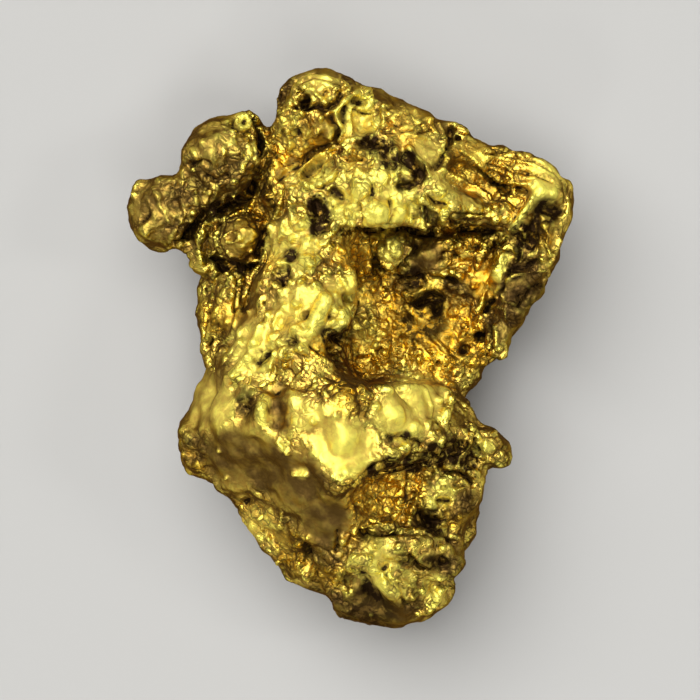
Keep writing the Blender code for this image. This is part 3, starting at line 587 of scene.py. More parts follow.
# A drag moves a strip bodily: (width, (dx, dy, dz), point, point, ...). Lips hang over the hollows beside
# them, and the floor right under a lip sinks.
DRAGS = {
    "brow lip": (0.34, (0.0, -0.26, 0.22), (-0.30, 3.40), (0.40, 3.36), (0.90, 3.32), (1.40, 3.34),
                 (1.80, 3.32)),
    "brow right lip": (0.24, (0.0, -0.20, 0.12), (2.40, 3.46), (2.80, 3.50), (3.30, 3.56)),
    "spur of the middle": (0.26, (0.20, -0.06, 0.10), (-0.14, 1.80), (-0.06, 1.40), (-0.14, 0.95),
                           (-0.44, 0.60)),
    "nose": (0.32, (0.05, -0.20, 0.06), (-0.30, -3.00), (0.20, -2.85), (0.60, -2.60), (1.10, -2.45)),
    "front rim": (0.36, (0.0, 0.30, 0.34), (0.90, -1.20), (1.40, -1.14), (1.90, -1.16), (2.40, -1.24)),
    "under the brow": (0.24, (0.0, 0.10, -0.55), (0.80, 2.94), (1.30, 2.98), (1.80, 2.82)),
    "under the brow's left end": (0.16, (0.0, 0.06, -0.08), (-0.05, 2.94), (0.60, 2.96)),
    "foot of the orange wall": (0.26, (0.0, 0.0, 0.42), (0.46, 2.66), (0.52, 2.35), (0.50, 2.05)),
    "under the right brow": (0.20, (0.0, 0.06, -0.35), (2.30, 3.04), (2.80, 3.00), (3.40, 2.95)),
    "under the nose": (0.22, (0.0, 0.05, -0.40), (0.40, -3.12), (1.00, -2.98), (1.60, -2.84), (2.20, -2.76),
                       (2.70, -2.50)),
    "brow recess": (0.30, (0.0, 0.0, -0.20), (2.70, 4.60), (3.20, 4.30), (3.70, 4.10)),
}

# A tint is a disc, (x, y, radius, strength), that fades towards its rim and acts on what faces up. Above a
# strength of 1 its full part is wider. A stain is orange with iron. The bloom discs give a brown bloom with
# painted shade where the gold faces away from the light, the light discs paint light and highlights, smooth
# gold has little grain, and the shade discs paint shadows and reflections of the darkness, in blots.
CROWN_RIM = [(x, y, 0.22, 0.9) for x, y in (
    (0.75, 6.38), (1.15, 6.22), (1.55, 6.04), (1.95, 5.84), (2.30, 5.62))]
NECK_CHANNEL = [(x, y, 0.22, 0.9) for x, y in (
    (-0.36, 5.34), (-0.70, 5.14), (-1.05, 4.90), (-1.40, 4.66), (-1.70, 4.40))]
TINTS = {
    "stain": {
        "neck": [(-1.50, 5.40, 0.75, 0.5), (-1.10, 4.90, 0.55, 0.6), (-1.80, 4.70, 0.45, 0.9)],
        "orange patch": [(1.50, 5.65, 0.80, 0.45)],
        "brow": [(0.20, 4.60, 0.50, 0.5)],
        "brow right": [(3.00, 4.55, 0.75, 0.6), (3.75, 4.20, 0.60, 0.5), (3.50, 4.80, 0.60, 0.4),
                       (4.10, 4.60, 0.70, 0.3), (4.10, 3.70, 0.40, 0.5)],
        "arm": [(4.80, 2.80, 0.40, 0.5)],
        "cavity": [(0.50, 1.60, 0.70, 0.8), (1.70, 0.90, 1.20, 0.9), (2.60, 0.40, 1.00, 0.8),
                   (0.60, 0.20, 0.90, 0.5), (2.20, -0.25, 0.60, 1.0), (3.20, 1.70, 0.50, 0.9),
                   (3.10, -0.10, 0.50, 0.8), (2.80, 2.60, 0.80, 0.5)],
        "middle": [(0.20, 2.45, 0.60, 1.5), (-0.70, 0.10, 0.40, 0.9), (-1.40, 0.80, 0.40, 0.4),
                   (-1.90, 2.20, 0.35, 0.5)],
        "front": [(0.00, -0.80, 0.60, 0.7), (-3.90, -2.75, 0.45, 0.8), (0.05, -1.20, 0.55, 0.5)],
        "recess": [(0.60, -3.60, 0.90, 0.9), (1.40, -3.50, 0.70, 0.6), (0.40, -4.60, 0.50, 0.5),
                   (2.60, -4.20, 0.40, 0.6)],
        "tip": [(-2.30, -4.20, 0.70, 0.5), (-1.40, -5.00, 0.60, 0.8), (-0.60, -5.60, 0.50, 0.6)],
        "ear": [(-2.00, 4.00, 0.50, 0.5)],
        "bead": [(-2.40, 3.40, 0.60, 0.6)],
        "left strip": [(-3.30, 0.80, 0.60, 0.6)],
    },
    # Brown bloom, with painted shade on places that face away from the light.
    "dull_and_shade": {
        "knob": [(-1.64, 6.30, 0.26, 1.0), (-1.52, 6.62, 0.26, 1.0), (-1.22, 6.86, 0.26, 1.0),
                 (-0.84, 6.96, 0.26, 1.0), (-0.42, 6.90, 0.26, 1.0), (-0.05, 6.72, 0.26, 1.0)],
        "neck": [(-0.50, 5.40, 0.40, 0.5)],
        "brow": [(0.20, 3.10, 0.30, 0.4)],
        "arm": [(4.60, 2.70, 1.00, 0.35), (4.30, 1.60, 0.90, 1.0), (3.90, 0.70, 0.70, 1.0),
                (4.90, 3.40, 0.50, 0.7)],
        "cavity": [(1.90, 2.35, 0.70, 0.9), (2.60, 1.50, 0.60, 0.9), (1.40, 1.75, 0.50, 0.8),
                   (1.50, 2.90, 0.60, 0.6), (2.00, 0.90, 0.90, 0.25), (1.00, 0.80, 0.80, 0.2)],
        "middle": [(-2.85, 0.60, 0.60, 0.3)],
        "front": [(-2.90, -2.60, 1.00, 0.95), (-2.00, -2.90, 0.90, 1.0), (-1.20, -3.30, 0.90, 1.0),
                  (-3.90, -2.50, 0.60, 0.85), (-1.72, -1.05, 0.32, 0.9), (-1.76, -1.45, 0.32, 1.0),
                  (-1.70, -1.85, 0.32, 0.9)],
        "recess": [(2.90, -3.90, 0.60, 0.9), (1.80, -4.15, 0.60, 0.1)],
        "tip": [(-0.60, -4.20, 0.80, 1.0), (-1.50, -3.90, 0.70, 0.7), (-0.55, -5.00, 0.60, 0.9),
                (0.45, -6.05, 0.60, 0.8), (0.50, -6.55, 0.90, 1.2), (1.30, -6.80, 0.70, 1.2),
                (-0.40, -6.50, 0.60, 1.2), (-0.90, -6.10, 0.60, 0.8), (-1.20, -4.90, 0.50, 0.4),
                (2.40, -5.20, 0.70, 0.9)],
        "ear": [(-3.30, 4.60, 1.30, 0.78), (-2.10, 3.90, 0.60, 0.5)],
        "left ball": [(-4.60, 3.45, 1.25, 0.85)],
        "bead": [(-2.75, 2.75, 0.80, 0.45), (-3.60, 2.50, 0.60, 0.6)],
        "left strip": [(-3.05, 1.25, 0.75, 0.3)],
        "crown rim": CROWN_RIM,
        "neck channel": NECK_CHANNEL,
    },
    # Painted light: lit patches and highlights painted on the gold.
    "bright": {
        "knob": [(-0.72, 6.46, 0.42, 0.5)],
        "neck": [(-1.30, 5.30, 0.50, 0.8), (-1.50, 5.50, 0.50, 0.9)],
        "first plate": [(0.20, 5.80, 0.70, 0.8)],
        "second plate": [(-1.20, 4.20, 0.60, 0.8), (-0.75, 4.45, 0.50, 1.0)],
        "orange patch": [(2.00, 5.00, 0.50, 0.8), (1.40, 5.70, 0.50, 0.6)],
        "brow": [(0.80, 3.50, 0.80, 1.0), (-0.10, 3.60, 0.70, 1.0), (1.50, 3.50, 0.60, 0.9),
                 (2.30, 4.00, 0.60, 0.8), (1.10, 4.60, 0.50, 0.8), (0.40, 4.30, 0.80, 0.8)],
        "brow right": [(4.80, 3.95, 0.50, 0.8), (3.00, 4.60, 0.60, 0.5), (3.10, 4.60, 0.50, 0.4),
                       (4.90, 4.30, 0.50, 0.5), (4.45, 3.54, 0.16, 1.0), (4.24, 3.27, 0.16, 1.0),
                       (4.06, 3.05, 0.16, 1.0), (3.87, 2.84, 0.16, 1.0)],
        "arm": [(3.90, 2.30, 0.16, 1.0), (3.78, 2.05, 0.16, 1.0), (3.66, 1.80, 0.16, 1.0),
                (3.56, 1.50, 0.16, 1.0)],
        "cavity": [(0.30, 1.20, 0.60, 0.6), (0.40, 0.40, 0.50, 0.7), (1.05, 2.50, 0.40, 1.0),
                   (1.72, 1.42, 0.14, 1.0), (1.95, 1.58, 0.14, 1.0), (2.20, 1.62, 0.14, 1.0)],
        "middle": [(-1.20, 0.80, 1.00, 0.9), (-1.40, 2.60, 0.90, 0.9), (-0.50, 1.10, 0.70, 0.9),
                   (-2.40, 0.00, 0.80, 0.9), (0.20, 2.45, 0.55, 1.0), (0.00, 1.50, 0.50, 1.0)],
        "front": [(-0.10, -2.40, 0.90, 1.0), (1.25, -1.70, 0.80, 1.0), (-1.05, -1.55, 0.50, 0.9),
                  (-2.12, -1.30, 0.22, 0.9), (-2.14, -1.66, 0.22, 0.9), (2.00, -1.40, 0.60, 0.6),
                  (-2.60, -0.70, 0.60, 0.7), (3.30, -2.40, 0.30, 1.0), (-3.30, -1.30, 0.60, 0.8),
                  (-1.64, -2.38, 0.18, 1.0), (-1.18, -3.03, 0.18, 1.0), (1.60, -1.10, 0.80, 1.0)],
        "recess": [(2.20, -3.50, 0.50, 0.9), (0.60, -3.70, 0.60, 0.5)],
        "tip": [(0.70, -5.40, 0.70, 1.0), (2.10, -5.95, 0.50, 0.7), (-2.30, -4.30, 0.60, 0.9),
                (-1.80, -4.90, 0.40, 0.6), (0.60, -4.90, 0.50, 0.9), (1.20, -5.70, 0.50, 1.0),
                (0.16, -5.20, 0.24, 1.0), (0.58, -5.38, 0.20, 1.0), (0.94, -5.90, 0.24, 1.0),
                (2.14, -6.08, 0.26, 1.0)],
        "ear": [(-2.66, 5.66, 0.26, 1.0), (-2.46, 4.90, 0.24, 0.8), (-3.00, 5.30, 0.35, 0.4)],
        "left strip": [(-3.40, -1.20, 0.80, 0.5)],
    },
    "smooth": {
        "knob": [(-0.80, 6.95, 0.60, 1.0)],
        "neck": [(-0.55, 5.60, 0.40, 0.8)],
        "first plate": [(0.10, 5.70, 0.70, 0.6)],
        "second plate": [(-0.80, 4.45, 0.50, 0.7)],
        "orange patch": [(1.40, 5.20, 0.34, 0.8), (1.85, 4.95, 0.40, 0.8), (2.15, 4.60, 0.36, 0.7)],
        "brow": [(0.80, 3.50, 0.90, 0.45), (0.00, 3.60, 0.60, 0.45)],
        "brow right": [(3.00, 3.80, 0.40, 0.8), (4.80, 4.30, 0.70, 0.7)],
        "arm": [(4.20, 1.60, 0.60, 0.2), (3.40, 1.60, 0.50, 0.8), (4.90, 3.60, 0.50, 0.6)],
        "cavity": [(2.00, 0.70, 0.70, 0.8), (1.90, 2.40, 0.50, 0.7)],
        "middle": [(-1.20, 0.80, 1.10, 0.55), (-1.40, 2.60, 0.90, 0.45), (-0.35, 1.40, 0.50, 0.6),
                   (-2.30, 0.00, 0.80, 0.6)],
        "front": [(-0.10, -2.40, 0.90, 1.0), (1.30, -1.60, 0.80, 0.9), (1.90, -1.20, 0.60, 1.0),
                  (-0.60, -2.00, 0.80, 1.0), (-1.60, -1.60, 0.80, 0.7), (-2.60, -2.60, 1.20, 0.9),
                  (-1.40, -3.20, 1.00, 0.9), (-3.60, -1.30, 0.90, 1.0)],
        "tip": [(-0.60, -4.20, 0.80, 1.0), (0.80, -6.80, 0.90, 0.9), (0.45, -6.00, 0.50, 0.9)],
        "ear": [(-3.60, 5.30, 0.70, 0.6)],
        "left ball": [(-4.95, 3.60, 0.70, 0.5)],
        "bead": [(-2.75, 2.80, 0.60, 0.7)],
        "left strip": [(-2.80, 0.90, 0.50, 0.9)],
        "crown rim": CROWN_RIM,
        "neck channel": NECK_CHANNEL,
    },
    # Painted shade: shadows under lips and ledges, and reflections of the darkness, painted in blots.
    "painted_shade": {
        "first plate": [(-0.20, 5.80, 0.18, 0.7), (0.10, 6.15, 0.18, 0.6)],
        "second plate": [(-0.95, 4.50, 0.18, 0.6), (-0.60, 4.45, 0.16, 0.6)],
        "orange patch": [(2.55, 5.30, 0.20, 0.8)],
        "brow": [(0.50, 5.10, 0.36, 1.2), (0.85, 4.98, 0.38, 1.2), (1.00, 4.70, 0.36, 1.2),
                 (1.45, 4.75, 0.30, 1.1), (1.66, 4.45, 0.36, 1.0), (1.75, 4.20, 0.32, 0.9),
                 (1.35, 4.08, 0.30, 0.9), (-0.82, 3.60, 0.36, 1.2), (-0.74, 3.30, 0.38, 1.2),
                 (-0.80, 3.00, 0.30, 1.1), (-0.36, 3.92, 0.22, 0.8), (1.85, 3.40, 0.24, 0.9)],
        "brow right": [(2.10, 3.25, 0.24, 0.9), (2.75, 3.20, 0.30, 0.9), (3.45, 2.98, 0.30, 0.9),
                       (3.10, 4.35, 0.30, 0.4), (3.60, 4.10, 0.30, 0.5), (3.58, 2.60, 0.26, 1.1)],
        "arm": [(4.25, 2.90, 0.36, 1.2), (4.20, 2.45, 0.34, 0.9), (4.90, 3.45, 0.44, 1.1),
                (4.30, 1.30, 0.50, 0.8), (4.10, 1.95, 0.30, 1.0), (3.55, 0.45, 0.30, 0.8)],
        "cavity": [(1.80, 0.80, 0.90, 0.9), (0.60, 0.50, 0.70, 0.25), (2.30, 0.40, 0.60, 0.45),
                   (1.60, 1.80, 0.40, 1.0), (0.66, 2.40, 0.16, 0.8)],
        "middle": [(-1.46, 2.34, 0.26, 1.0), (-1.66, 1.80, 0.28, 1.0), (-0.50, 0.34, 0.36, 1.0),
                   (-1.42, 0.24, 0.26, 0.9), (-2.20, -0.20, 0.30, 0.9), (-1.05, 0.88, 0.18, 0.7),
                   (-0.10, 0.40, 0.30, 0.8), (-1.90, 3.30, 0.24, 0.7)],
        "front": [(-2.60, -1.40, 0.26, 0.7), (2.40, -2.70, 0.40, 0.7), (0.60, -2.96, 0.24, 1.7),
                  (1.00, -2.82, 0.30, 1.7), (1.55, -2.80, 0.32, 1.7), (2.10, -2.62, 0.42, 1.6),
                  (2.60, -2.52, 0.44, 1.6), (0.95, -2.18, 0.16, 1.2), (1.40, -2.12, 0.16, 1.2),
                  (-2.60, -1.35, 0.40, 0.9), (-2.50, -1.05, 0.30, 0.7), (-3.80, -2.60, 0.50, 0.3)],
        "recess": [(2.00, -4.20, 0.34, 0.7), (1.20, -4.50, 0.30, 0.5), (2.95, -2.75, 0.36, 1.2),
                   (2.20, -3.10, 0.50, 0.35), (2.10, -4.30, 0.50, 1.0), (0.70, -4.55, 0.30, 0.8),
                   (1.30, -4.66, 0.30, 0.7), (0.32, -4.76, 0.22, 0.8)],
        "tip": [(0.46, -5.92, 0.28, 1.0), (1.70, -5.35, 0.24, 0.8), (2.38, -5.25, 0.26, 0.8),
                (1.70, -6.30, 0.20, 0.7), (-1.06, -5.05, 0.22, 0.8), (1.36, -5.20, 0.26, 0.9),
                (1.46, -5.60, 0.22, 0.5), (2.00, -5.30, 0.30, 0.9), (-0.16, -5.70, 0.24, 0.8),
                (1.55, -6.05, 0.22, 0.7), (0.50, -6.60, 0.90, 0.8), (-0.60, -4.20, 0.60, 0.25)],
        "ear": [(-2.64, 5.67, 0.11, 1.0), (-3.30, 3.50, 0.36, 1.0), (-2.90, 3.74, 0.30, 0.9),
                (-2.28, 5.30, 0.16, 1.0), (-2.26, 4.90, 0.16, 1.0), (-2.32, 4.50, 0.16, 1.0),
                (-2.42, 4.10, 0.18, 1.0)],
        "bead": [(-3.20, 2.16, 0.22, 0.9), (-2.76, 2.00, 0.26, 0.9)],
    },
}


# ---------------------------------------------------------------- strokes

# In millimetres: a height above everything, and the step between a stroke's points.
ABOVE_ALL = 30.0
STROKE_STEP = 0.05
# In widths of the stroke: how far it reaches, and the tallest that it may stand.
STROKE_REACH = 2.2
TALLEST = 2.0


def drop(tree, x, y):
    """The highest point of the surface above (x, y)."""
    hit = tree.ray_cast(Vector((x, y, ABOVE_ALL)), Vector((0.0, 0.0, -1.0)))[0]
    return None if hit is None else np.array(hit)


def path_on_surface(tree, route):
    """A route in plan, as close points that lie on the surface."""
    found = [drop(tree, *route[0])]
    for (x0, y0), (x1, y1) in zip(route, route[1:]):
        count = max(2, int(np.hypot(x1 - x0, y1 - y0) / STROKE_STEP))
        for share in np.linspace(0.0, 1.0, count + 1)[1:]:
            found.append(drop(tree, x0 + (x1 - x0) * share, y0 + (y1 - y0) * share))
    return np.array([point for point in found if point is not None])


def near_path(points, path, width):
    """The points close to a path, and how strongly it acts on each."""
    reach = STROKE_REACH * width
    inside = np.where(((points > path.min(0) - reach) & (points < path.max(0) + reach)).all(1))[0]
    gap = np.full(len(inside), np.inf)
    for spot in path:
        gap = np.minimum(gap, ((points[inside] - spot) ** 2).sum(1))
    return inside, np.exp(-gap / width ** 2)


def carve(surface, tree, width, height, route):
    """Makes one mark, never a thin fin, and notes on each point how far it was raised."""
    path = path_on_surface(tree, route)
    if len(path):
        inside, share = near_path(surface.points, path, width)
        raised = min(height, TALLEST * width) * share
        surface.points[inside] += surface.normals[inside] * raised[:, None]
        surface.carved[inside] += raised


def carve_marks(surface, tree, gain):
    """Makes all the lines, and then all the spots."""
    for lines in LINES.values():
        for width, height, *route in lines:
            carve(surface, tree, width, height * gain, route)
    for spots in SPOTS.values():
        for x, y, width, height in spots:
            carve(surface, tree, width, height * gain, [(x, y)])
    surface.refresh()


def drag_strips(surface):
    """Drags each strip to its new place."""
    tree = surface.tree()
    for width, shift, *route in DRAGS.values():
        inside, share = near_path(surface.points, path_on_surface(tree, route), width)
        surface.points[inside] += np.array(shift) * share[:, None]
    surface.refresh()


def tint(surface, name):
    """How strongly the discs of one tint act on each point."""
    strength = np.zeros(surface.count)
    for discs in TINTS[name].values():
        for x, y, radius, full in discs:
            away = np.hypot(surface.points[:, 0] - x, surface.points[:, 1] - y) / radius
            strength = np.maximum(strength, full * smoothstep(1.1, 0.5, away))
    return strength * smoothstep(-0.1, 0.35, surface.normals[:, 2])


# ---------------------------------------------------------------- the body

# In metres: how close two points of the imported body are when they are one.
WELD_DISTANCE = 0.0005 * MM
# The underside is thinned until the whole piece has this many times its goal of triangles.
BELOW_SHARE = 1.3

# One point in every few sends out rays to find its sky, and the points between share what it found. The
# rays start just off the surface, and their reach and that gap are in millimetres.
SKY_EVERY = 9
SKY_RAYS = 32
SKY_PASSES = 14
SKY_REACH = 6.0
LIFT_OFF = 0.03
GOLDEN_TURN = pi * (1.0 + 5.0 ** 0.5)

# Smoothing passes that take off the grain, and those that take off the ridges and fill the grooves.
GRAIN_PASSES = 6
RIDGE_PASSES = 60

# Sizes of the patterns laid over the whole surface, in millimetres.
LUMPS, SMALL_LUMPS = 0.80, 0.38
TERRACES, SMALL_TERRACES = 0.55, 0.21
CREASES, CREASE_WIDTH = 0.60, 0.06
PEBBLES, GRIT = 0.34, 0.19
ZONES = 1.2

# Where each trace starts and where it is full. Depths and heights are against the smoothed surroundings,
# in millimetres. A tilt is the upward part of the normal, and a shade is the share of open sky.
STAINED_HOLLOW = (0.02, 0.16)
# Painted shade gathers in hollows, pits and cut grooves between these depths.
SHADED_HOLLOW = (0.06, 0.22)
SHADED_PIT = (0.006, 0.03)
SHADED_GROOVE = (-0.05, -0.16)
# Rubbed wear with painted highlight, on ridges and on the tops of grains.
RUBBED_AND_LIT_RIDGE = (0.0, 0.07)
RUBBED_AND_LIT_GRAIN = (0.0, 0.015)
RAISED_MARK = (0.04, 0.12)
STAINED_SHADE = (0.75, 0.25)
GRITTY_SHADE = (0.8, 0.35)
# Painted shade on the steep flanks, between these tilts.
SHADED_FLANK_TILT = (0.80, 0.45)
CALM_TILT = (0.66, 0.32)


def apply_modifiers(body):
    """Makes the evaluated mesh the body's own."""
    depsgraph = bpy.context.evaluated_depsgraph_get()
    made = bpy.data.meshes.new_from_object(body.evaluated_get(depsgraph))
    body.modifiers.clear()
    body.data = made


def new_body(shape):
    """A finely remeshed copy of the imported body."""
    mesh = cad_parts[BODY_NODE].data.copy()
    body = bpy.data.objects.new("nugget_gold", mesh)
    bpy.context.scene.collection.objects.link(body)
    weld = bmesh.new()
    weld.from_mesh(mesh)
    bmesh.ops.remove_doubles(weld, verts=weld.verts, dist=WELD_DISTANCE)
    weld.to_mesh(mesh)
    weld.free()
    remesh = body.modifiers.new("remesh", "REMESH")
    remesh.mode = "VOXEL"
    remesh.voxel_size = shape.voxel
    apply_modifiers(body)
    if not len(body.data.polygons):
        raise RuntimeError("The remesh left nothing of the packed body")
    return body


def sky_directions():
    """Evenly spread directions about +Z, more of them near the top, as the sky lights a flat place."""
    index = np.arange(SKY_RAYS) + 0.5
    height = np.sqrt(1.0 - index / SKY_RAYS)
    side = np.sqrt(1.0 - height ** 2)
    turn = index * GOLDEN_TURN
    return np.stack([side * np.cos(turn), side * np.sin(turn), height], 1).tolist()


def openness(surface, tree):
    """How much of its sky each point sees, from 0 in a deep hollow to 1 on a bare top."""
    rng = np.random.default_rng(SEED)
    directions = sky_directions()
    seen, known = np.zeros(surface.count), np.zeros(surface.count)
    for i in range(0, surface.count, SKY_EVERY):
        normal = Vector(surface.normals[i])
        u = normal.orthogonal().normalized()
        u.rotate(Quaternion(normal, rng.random() * 2.0 * pi))
        v = normal.cross(u)
        start = Vector(surface.points[i]) + normal * LIFT_OFF
        free = sum(tree.ray_cast(start, u * a + v * b + normal * c, SKY_REACH)[0] is None
                   for a, b, c in directions)
        seen[i] = free / SKY_RAYS
        known[i] = 1.0
    return surface.spread(seen, SKY_PASSES) / np.maximum(surface.spread(known, SKY_PASSES), 1e-6)


def terraces(values, edge=0.22):
    """Turns a smooth field into steps with short slopes between them."""
    level = np.floor(values)
    return level + smoothstep(0.5 - edge, 0.5 + edge, values - level)


def lay_grain(surface, shape, sky):
    """Lays lumps, terraces, creases, rounded grains and grit over the whole surface."""
    points = surface.points.copy()
    calm = 1.0 - 0.85 * tint(surface, "smooth")
    calm *= 0.30 + 0.70 * smoothstep(0.05, 0.50, surface.normals[:, 2])
    zone = noise_field(points, ZONES, 4)

    lumps = noise_field(points, LUMPS, 1) + 0.6 * noise_field(points, SMALL_LUMPS, 2)
    height = shape.lump_height * lumps * (0.15 + 0.85 * calm)

    rises = 3.2 * noise_field(points, TERRACES, 10) + 1.2 * noise_field(points, SMALL_TERRACES, 11)
    steps = terraces(rises)
    height += shape.terrace_height * steps * (0.35 + 0.65 * smoothstep(-0.1, 0.35, zone)) * calm

    creases = np.exp(-(np.abs(noise_field(points, CREASES, 3)) / CREASE_WIDTH) ** 2)
    height -= shape.crease_depth * creases * smoothstep(-0.2, 0.3, -zone) * calm

    pebbly = smoothstep(0.45, -0.35, zone + 0.2 * lumps)
    height += shape.pebble_height * grains(points, PEBBLES, 5) * pebbly * calm
    gritty = np.clip(0.3 + 0.8 * smoothstep(*GRITTY_SHADE, sky), 0.0, 1.0)
    height += shape.grit_height * grains(points, GRIT, 12) * gritty * calm
    surface.push(height / MM)


def sharpen(surface, gain):
    """Stands the edges up and sinks the hollows, by what smoothing takes off them."""
    surface.points += gain * (surface.points - surface.spread(surface.points, RIDGE_PASSES))
    surface.refresh()


def sculpt(surface, shape):
    """Sculpts the whole surface, and gives back how much of its sky each point sees."""
    surface.points = surface.spread(surface.points, shape.wear_passes)
    surface.refresh()
    sharpen(surface, shape.edge_gain)
    drag_strips(surface)
    tree = surface.tree()
    sky = openness(surface, tree)
    carve_marks(surface, tree, shape.mark_gain)
    lay_grain(surface, shape, sky)
    surface.settle()
    return sky


def weather(surface, sky):
    """Stores on the mesh, from 0 to 1: stain, rubbing, bloom and calm, and painted light, highlight and
    shade.
    """
    up = surface.normals[:, 2]
    pit, hollow = surface.sink(GRAIN_PASSES), surface.sink(RIDGE_PASSES)
    raised = smoothstep(*RAISED_MARK, surface.carved)
    # Painted light and highlights, from the light discs.
    bright = tint(surface, "bright")

    stain = 0.12 + tint(surface, "stain") - 0.4 * bright
    stain += 0.2 * smoothstep(*STAINED_SHADE, sky) + 0.4 * smoothstep(*STAINED_HOLLOW, hollow)
    # Painted shade in cut grooves, pits and hollows, less under a stain.
    grime = smoothstep(*SHADED_GROOVE, surface.carved) + 0.8 * smoothstep(*SHADED_PIT, pit)
    grime += 0.5 * smoothstep(*SHADED_HOLLOW, hollow)
    grime *= 1.0 - 0.35 * np.clip(stain, 0.0, 1.0)
    # Rubbed wear with painted highlight: lighter on ridges, on grain tops and on raised marks.
    worn_and_highlit = 0.4 * smoothstep(*RUBBED_AND_LIT_RIDGE, -hollow) + 0.6 * smoothstep(*RUBBED_AND_LIT_GRAIN, -pit)
    worn_and_highlit += 0.6 * raised
    # Painted shade on the steep flanks, less where light is painted.
    shaded_flank = smoothstep(*SHADED_FLANK_TILT, up) * (1.0 - 0.7 * bright)
    # Brown bloom with painted shade from the discs, less where light is painted and on raised marks.
    dull_and_shade = np.maximum(tint(surface, "dull_and_shade") - 0.9 * bright, shaded_flank) * (1.0 - 0.85 * raised)
    calm = np.maximum(tint(surface, "smooth"), 0.75 * smoothstep(*CALM_TILT, up))
    traces = {"stain": stain, "grime": grime, "worn_and_highlit": worn_and_highlit, "dull_and_shade": dull_and_shade, "calm": calm, "bright": bright,
              "painted_shade": tint(surface, "painted_shade")}
    for name, values in traces.items():
        layer = surface.mesh.attributes.new(name, "FLOAT", "POINT")
        layer.data.foreach_set("value", np.clip(values, 0.0, 1.0).astype(np.float32))


def thin_out(body, shape):
    """Thins the underside first, then the whole piece to its goal."""
    below = body.vertex_groups.new(name="below")
    downward = np.where(read_vectors(body.data, "normal")[:, 2] < 0.0)[0]
    below.add(downward.tolist(), 1.0, "REPLACE")
    for group, goal in ((below.name, BELOW_SHARE * shape.triangle_goal), ("", shape.triangle_goal)):
        body.data.calc_loop_triangles()
        modifier = body.modifiers.new("thin out", "DECIMATE")
        modifier.ratio = min(1.0, goal / len(body.data.loop_triangles))
        modifier.vertex_group = group
        apply_modifiers(body)
    Surface(body.data).settle()


# ---------------------------------------------------------------- the gold

# Sizes of the patterns in the metal and depth of its finest relief, in millimetres.
GRAIN = 0.22
SPECK = 0.16
BLOTCH = 0.60
CURL = 0.30
SHADE_BLOT = 0.24
LEDGE = 0.42
BEND, BEND_REACH = 0.30, 0.35
RELIEF = 0.017
GRAIN_LEAN = 0.13


class Graph:
    """Short ways to add nodes to a material."""

    def __init__(self, material):
        self.nodes = material.node_tree.nodes
        self.links = material.node_tree.links

    def add(self, kind, **settings):
        node = self.nodes.new(kind)
        for name, value in settings.items():
            setattr(node, name, value)
        return node

    def feed(self, socket, value):
        """Sets a socket to a value, or links it to an output."""
        if isinstance(value, bpy.types.NodeSocket):
            self.links.new(value, socket)
        else:
            socket.default_value = value

    def number(self, operation, *values, clamp=False):
        """One sum on numbers."""
        node = self.add("ShaderNodeMath", operation=operation, use_clamp=clamp)
        for socket, value in zip(node.inputs, values):
            self.feed(socket, value)
        return node.outputs[0]

    def times(self, first, second, clamp=False):
        return self.number("MULTIPLY", first, second, clamp=clamp)

    def plus(self, first, second, clamp=False):
        return self.number("ADD", first, second, clamp=clamp)

    def less(self, first, second, clamp=False):
        return self.number("SUBTRACT", first, second, clamp=clamp)

    def vector(self, operation, *vectors, scale=None):
        """One sum on vectors."""
        node = self.add("ShaderNodeVectorMath", operation=operation)
        for socket, value in zip(node.inputs, vectors):
            self.feed(socket, value)
        if scale is not None:
            self.feed(node.inputs["Scale"], scale)
        return node.outputs[0]

    def mix(self, share, first, second):
        """A colour between two others."""
        node = self.add("ShaderNodeMix", data_type="RGBA")
        self.feed(node.inputs[0], share)
        self.feed(node.inputs[6], first)
        self.feed(node.inputs[7], second)
        return node.outputs[2]

    def stretch(self, value, low, high, out_low=0.0, out_high=1.0):
        """Stretches a range of numbers to another, and stops at its ends."""
        node = self.add("ShaderNodeMapRange", clamp=True, interpolation_type="SMOOTHSTEP")
        for socket, number in zip(node.inputs, (value, low, high, out_low, out_high)):
            self.feed(socket, number)
        return node.outputs[0]

    def trace(self, name):
        """A value from 0 to 1 that the sculpting stored on the mesh."""
        return self.add("ShaderNodeAttribute", attribute_name=name).outputs["Fac"]

    def noise(self, place, size, detail=2.0, roughness=0.5, output=0):
        """Noise with lumps of one size, in millimetres."""
        node = self.add("ShaderNodeTexNoise")
        settings = {"Vector": place, "Scale": 1.0 / size, "Detail": detail, "Roughness": roughness}
        for name, value in settings.items():
            self.feed(node.inputs[name], value)
        return node.outputs[output]

    def cells(self, place, size, feature="DISTANCE_TO_EDGE", output="Distance"):
        """Cells of one size, in millimetres: the way to their edge, in cell sizes, or a colour for each."""
        node = self.add("ShaderNodeTexVoronoi", feature=feature)
        self.feed(node.inputs["Vector"], place)
        self.feed(node.inputs["Scale"], 1.0 / size)
        return node.outputs[output]


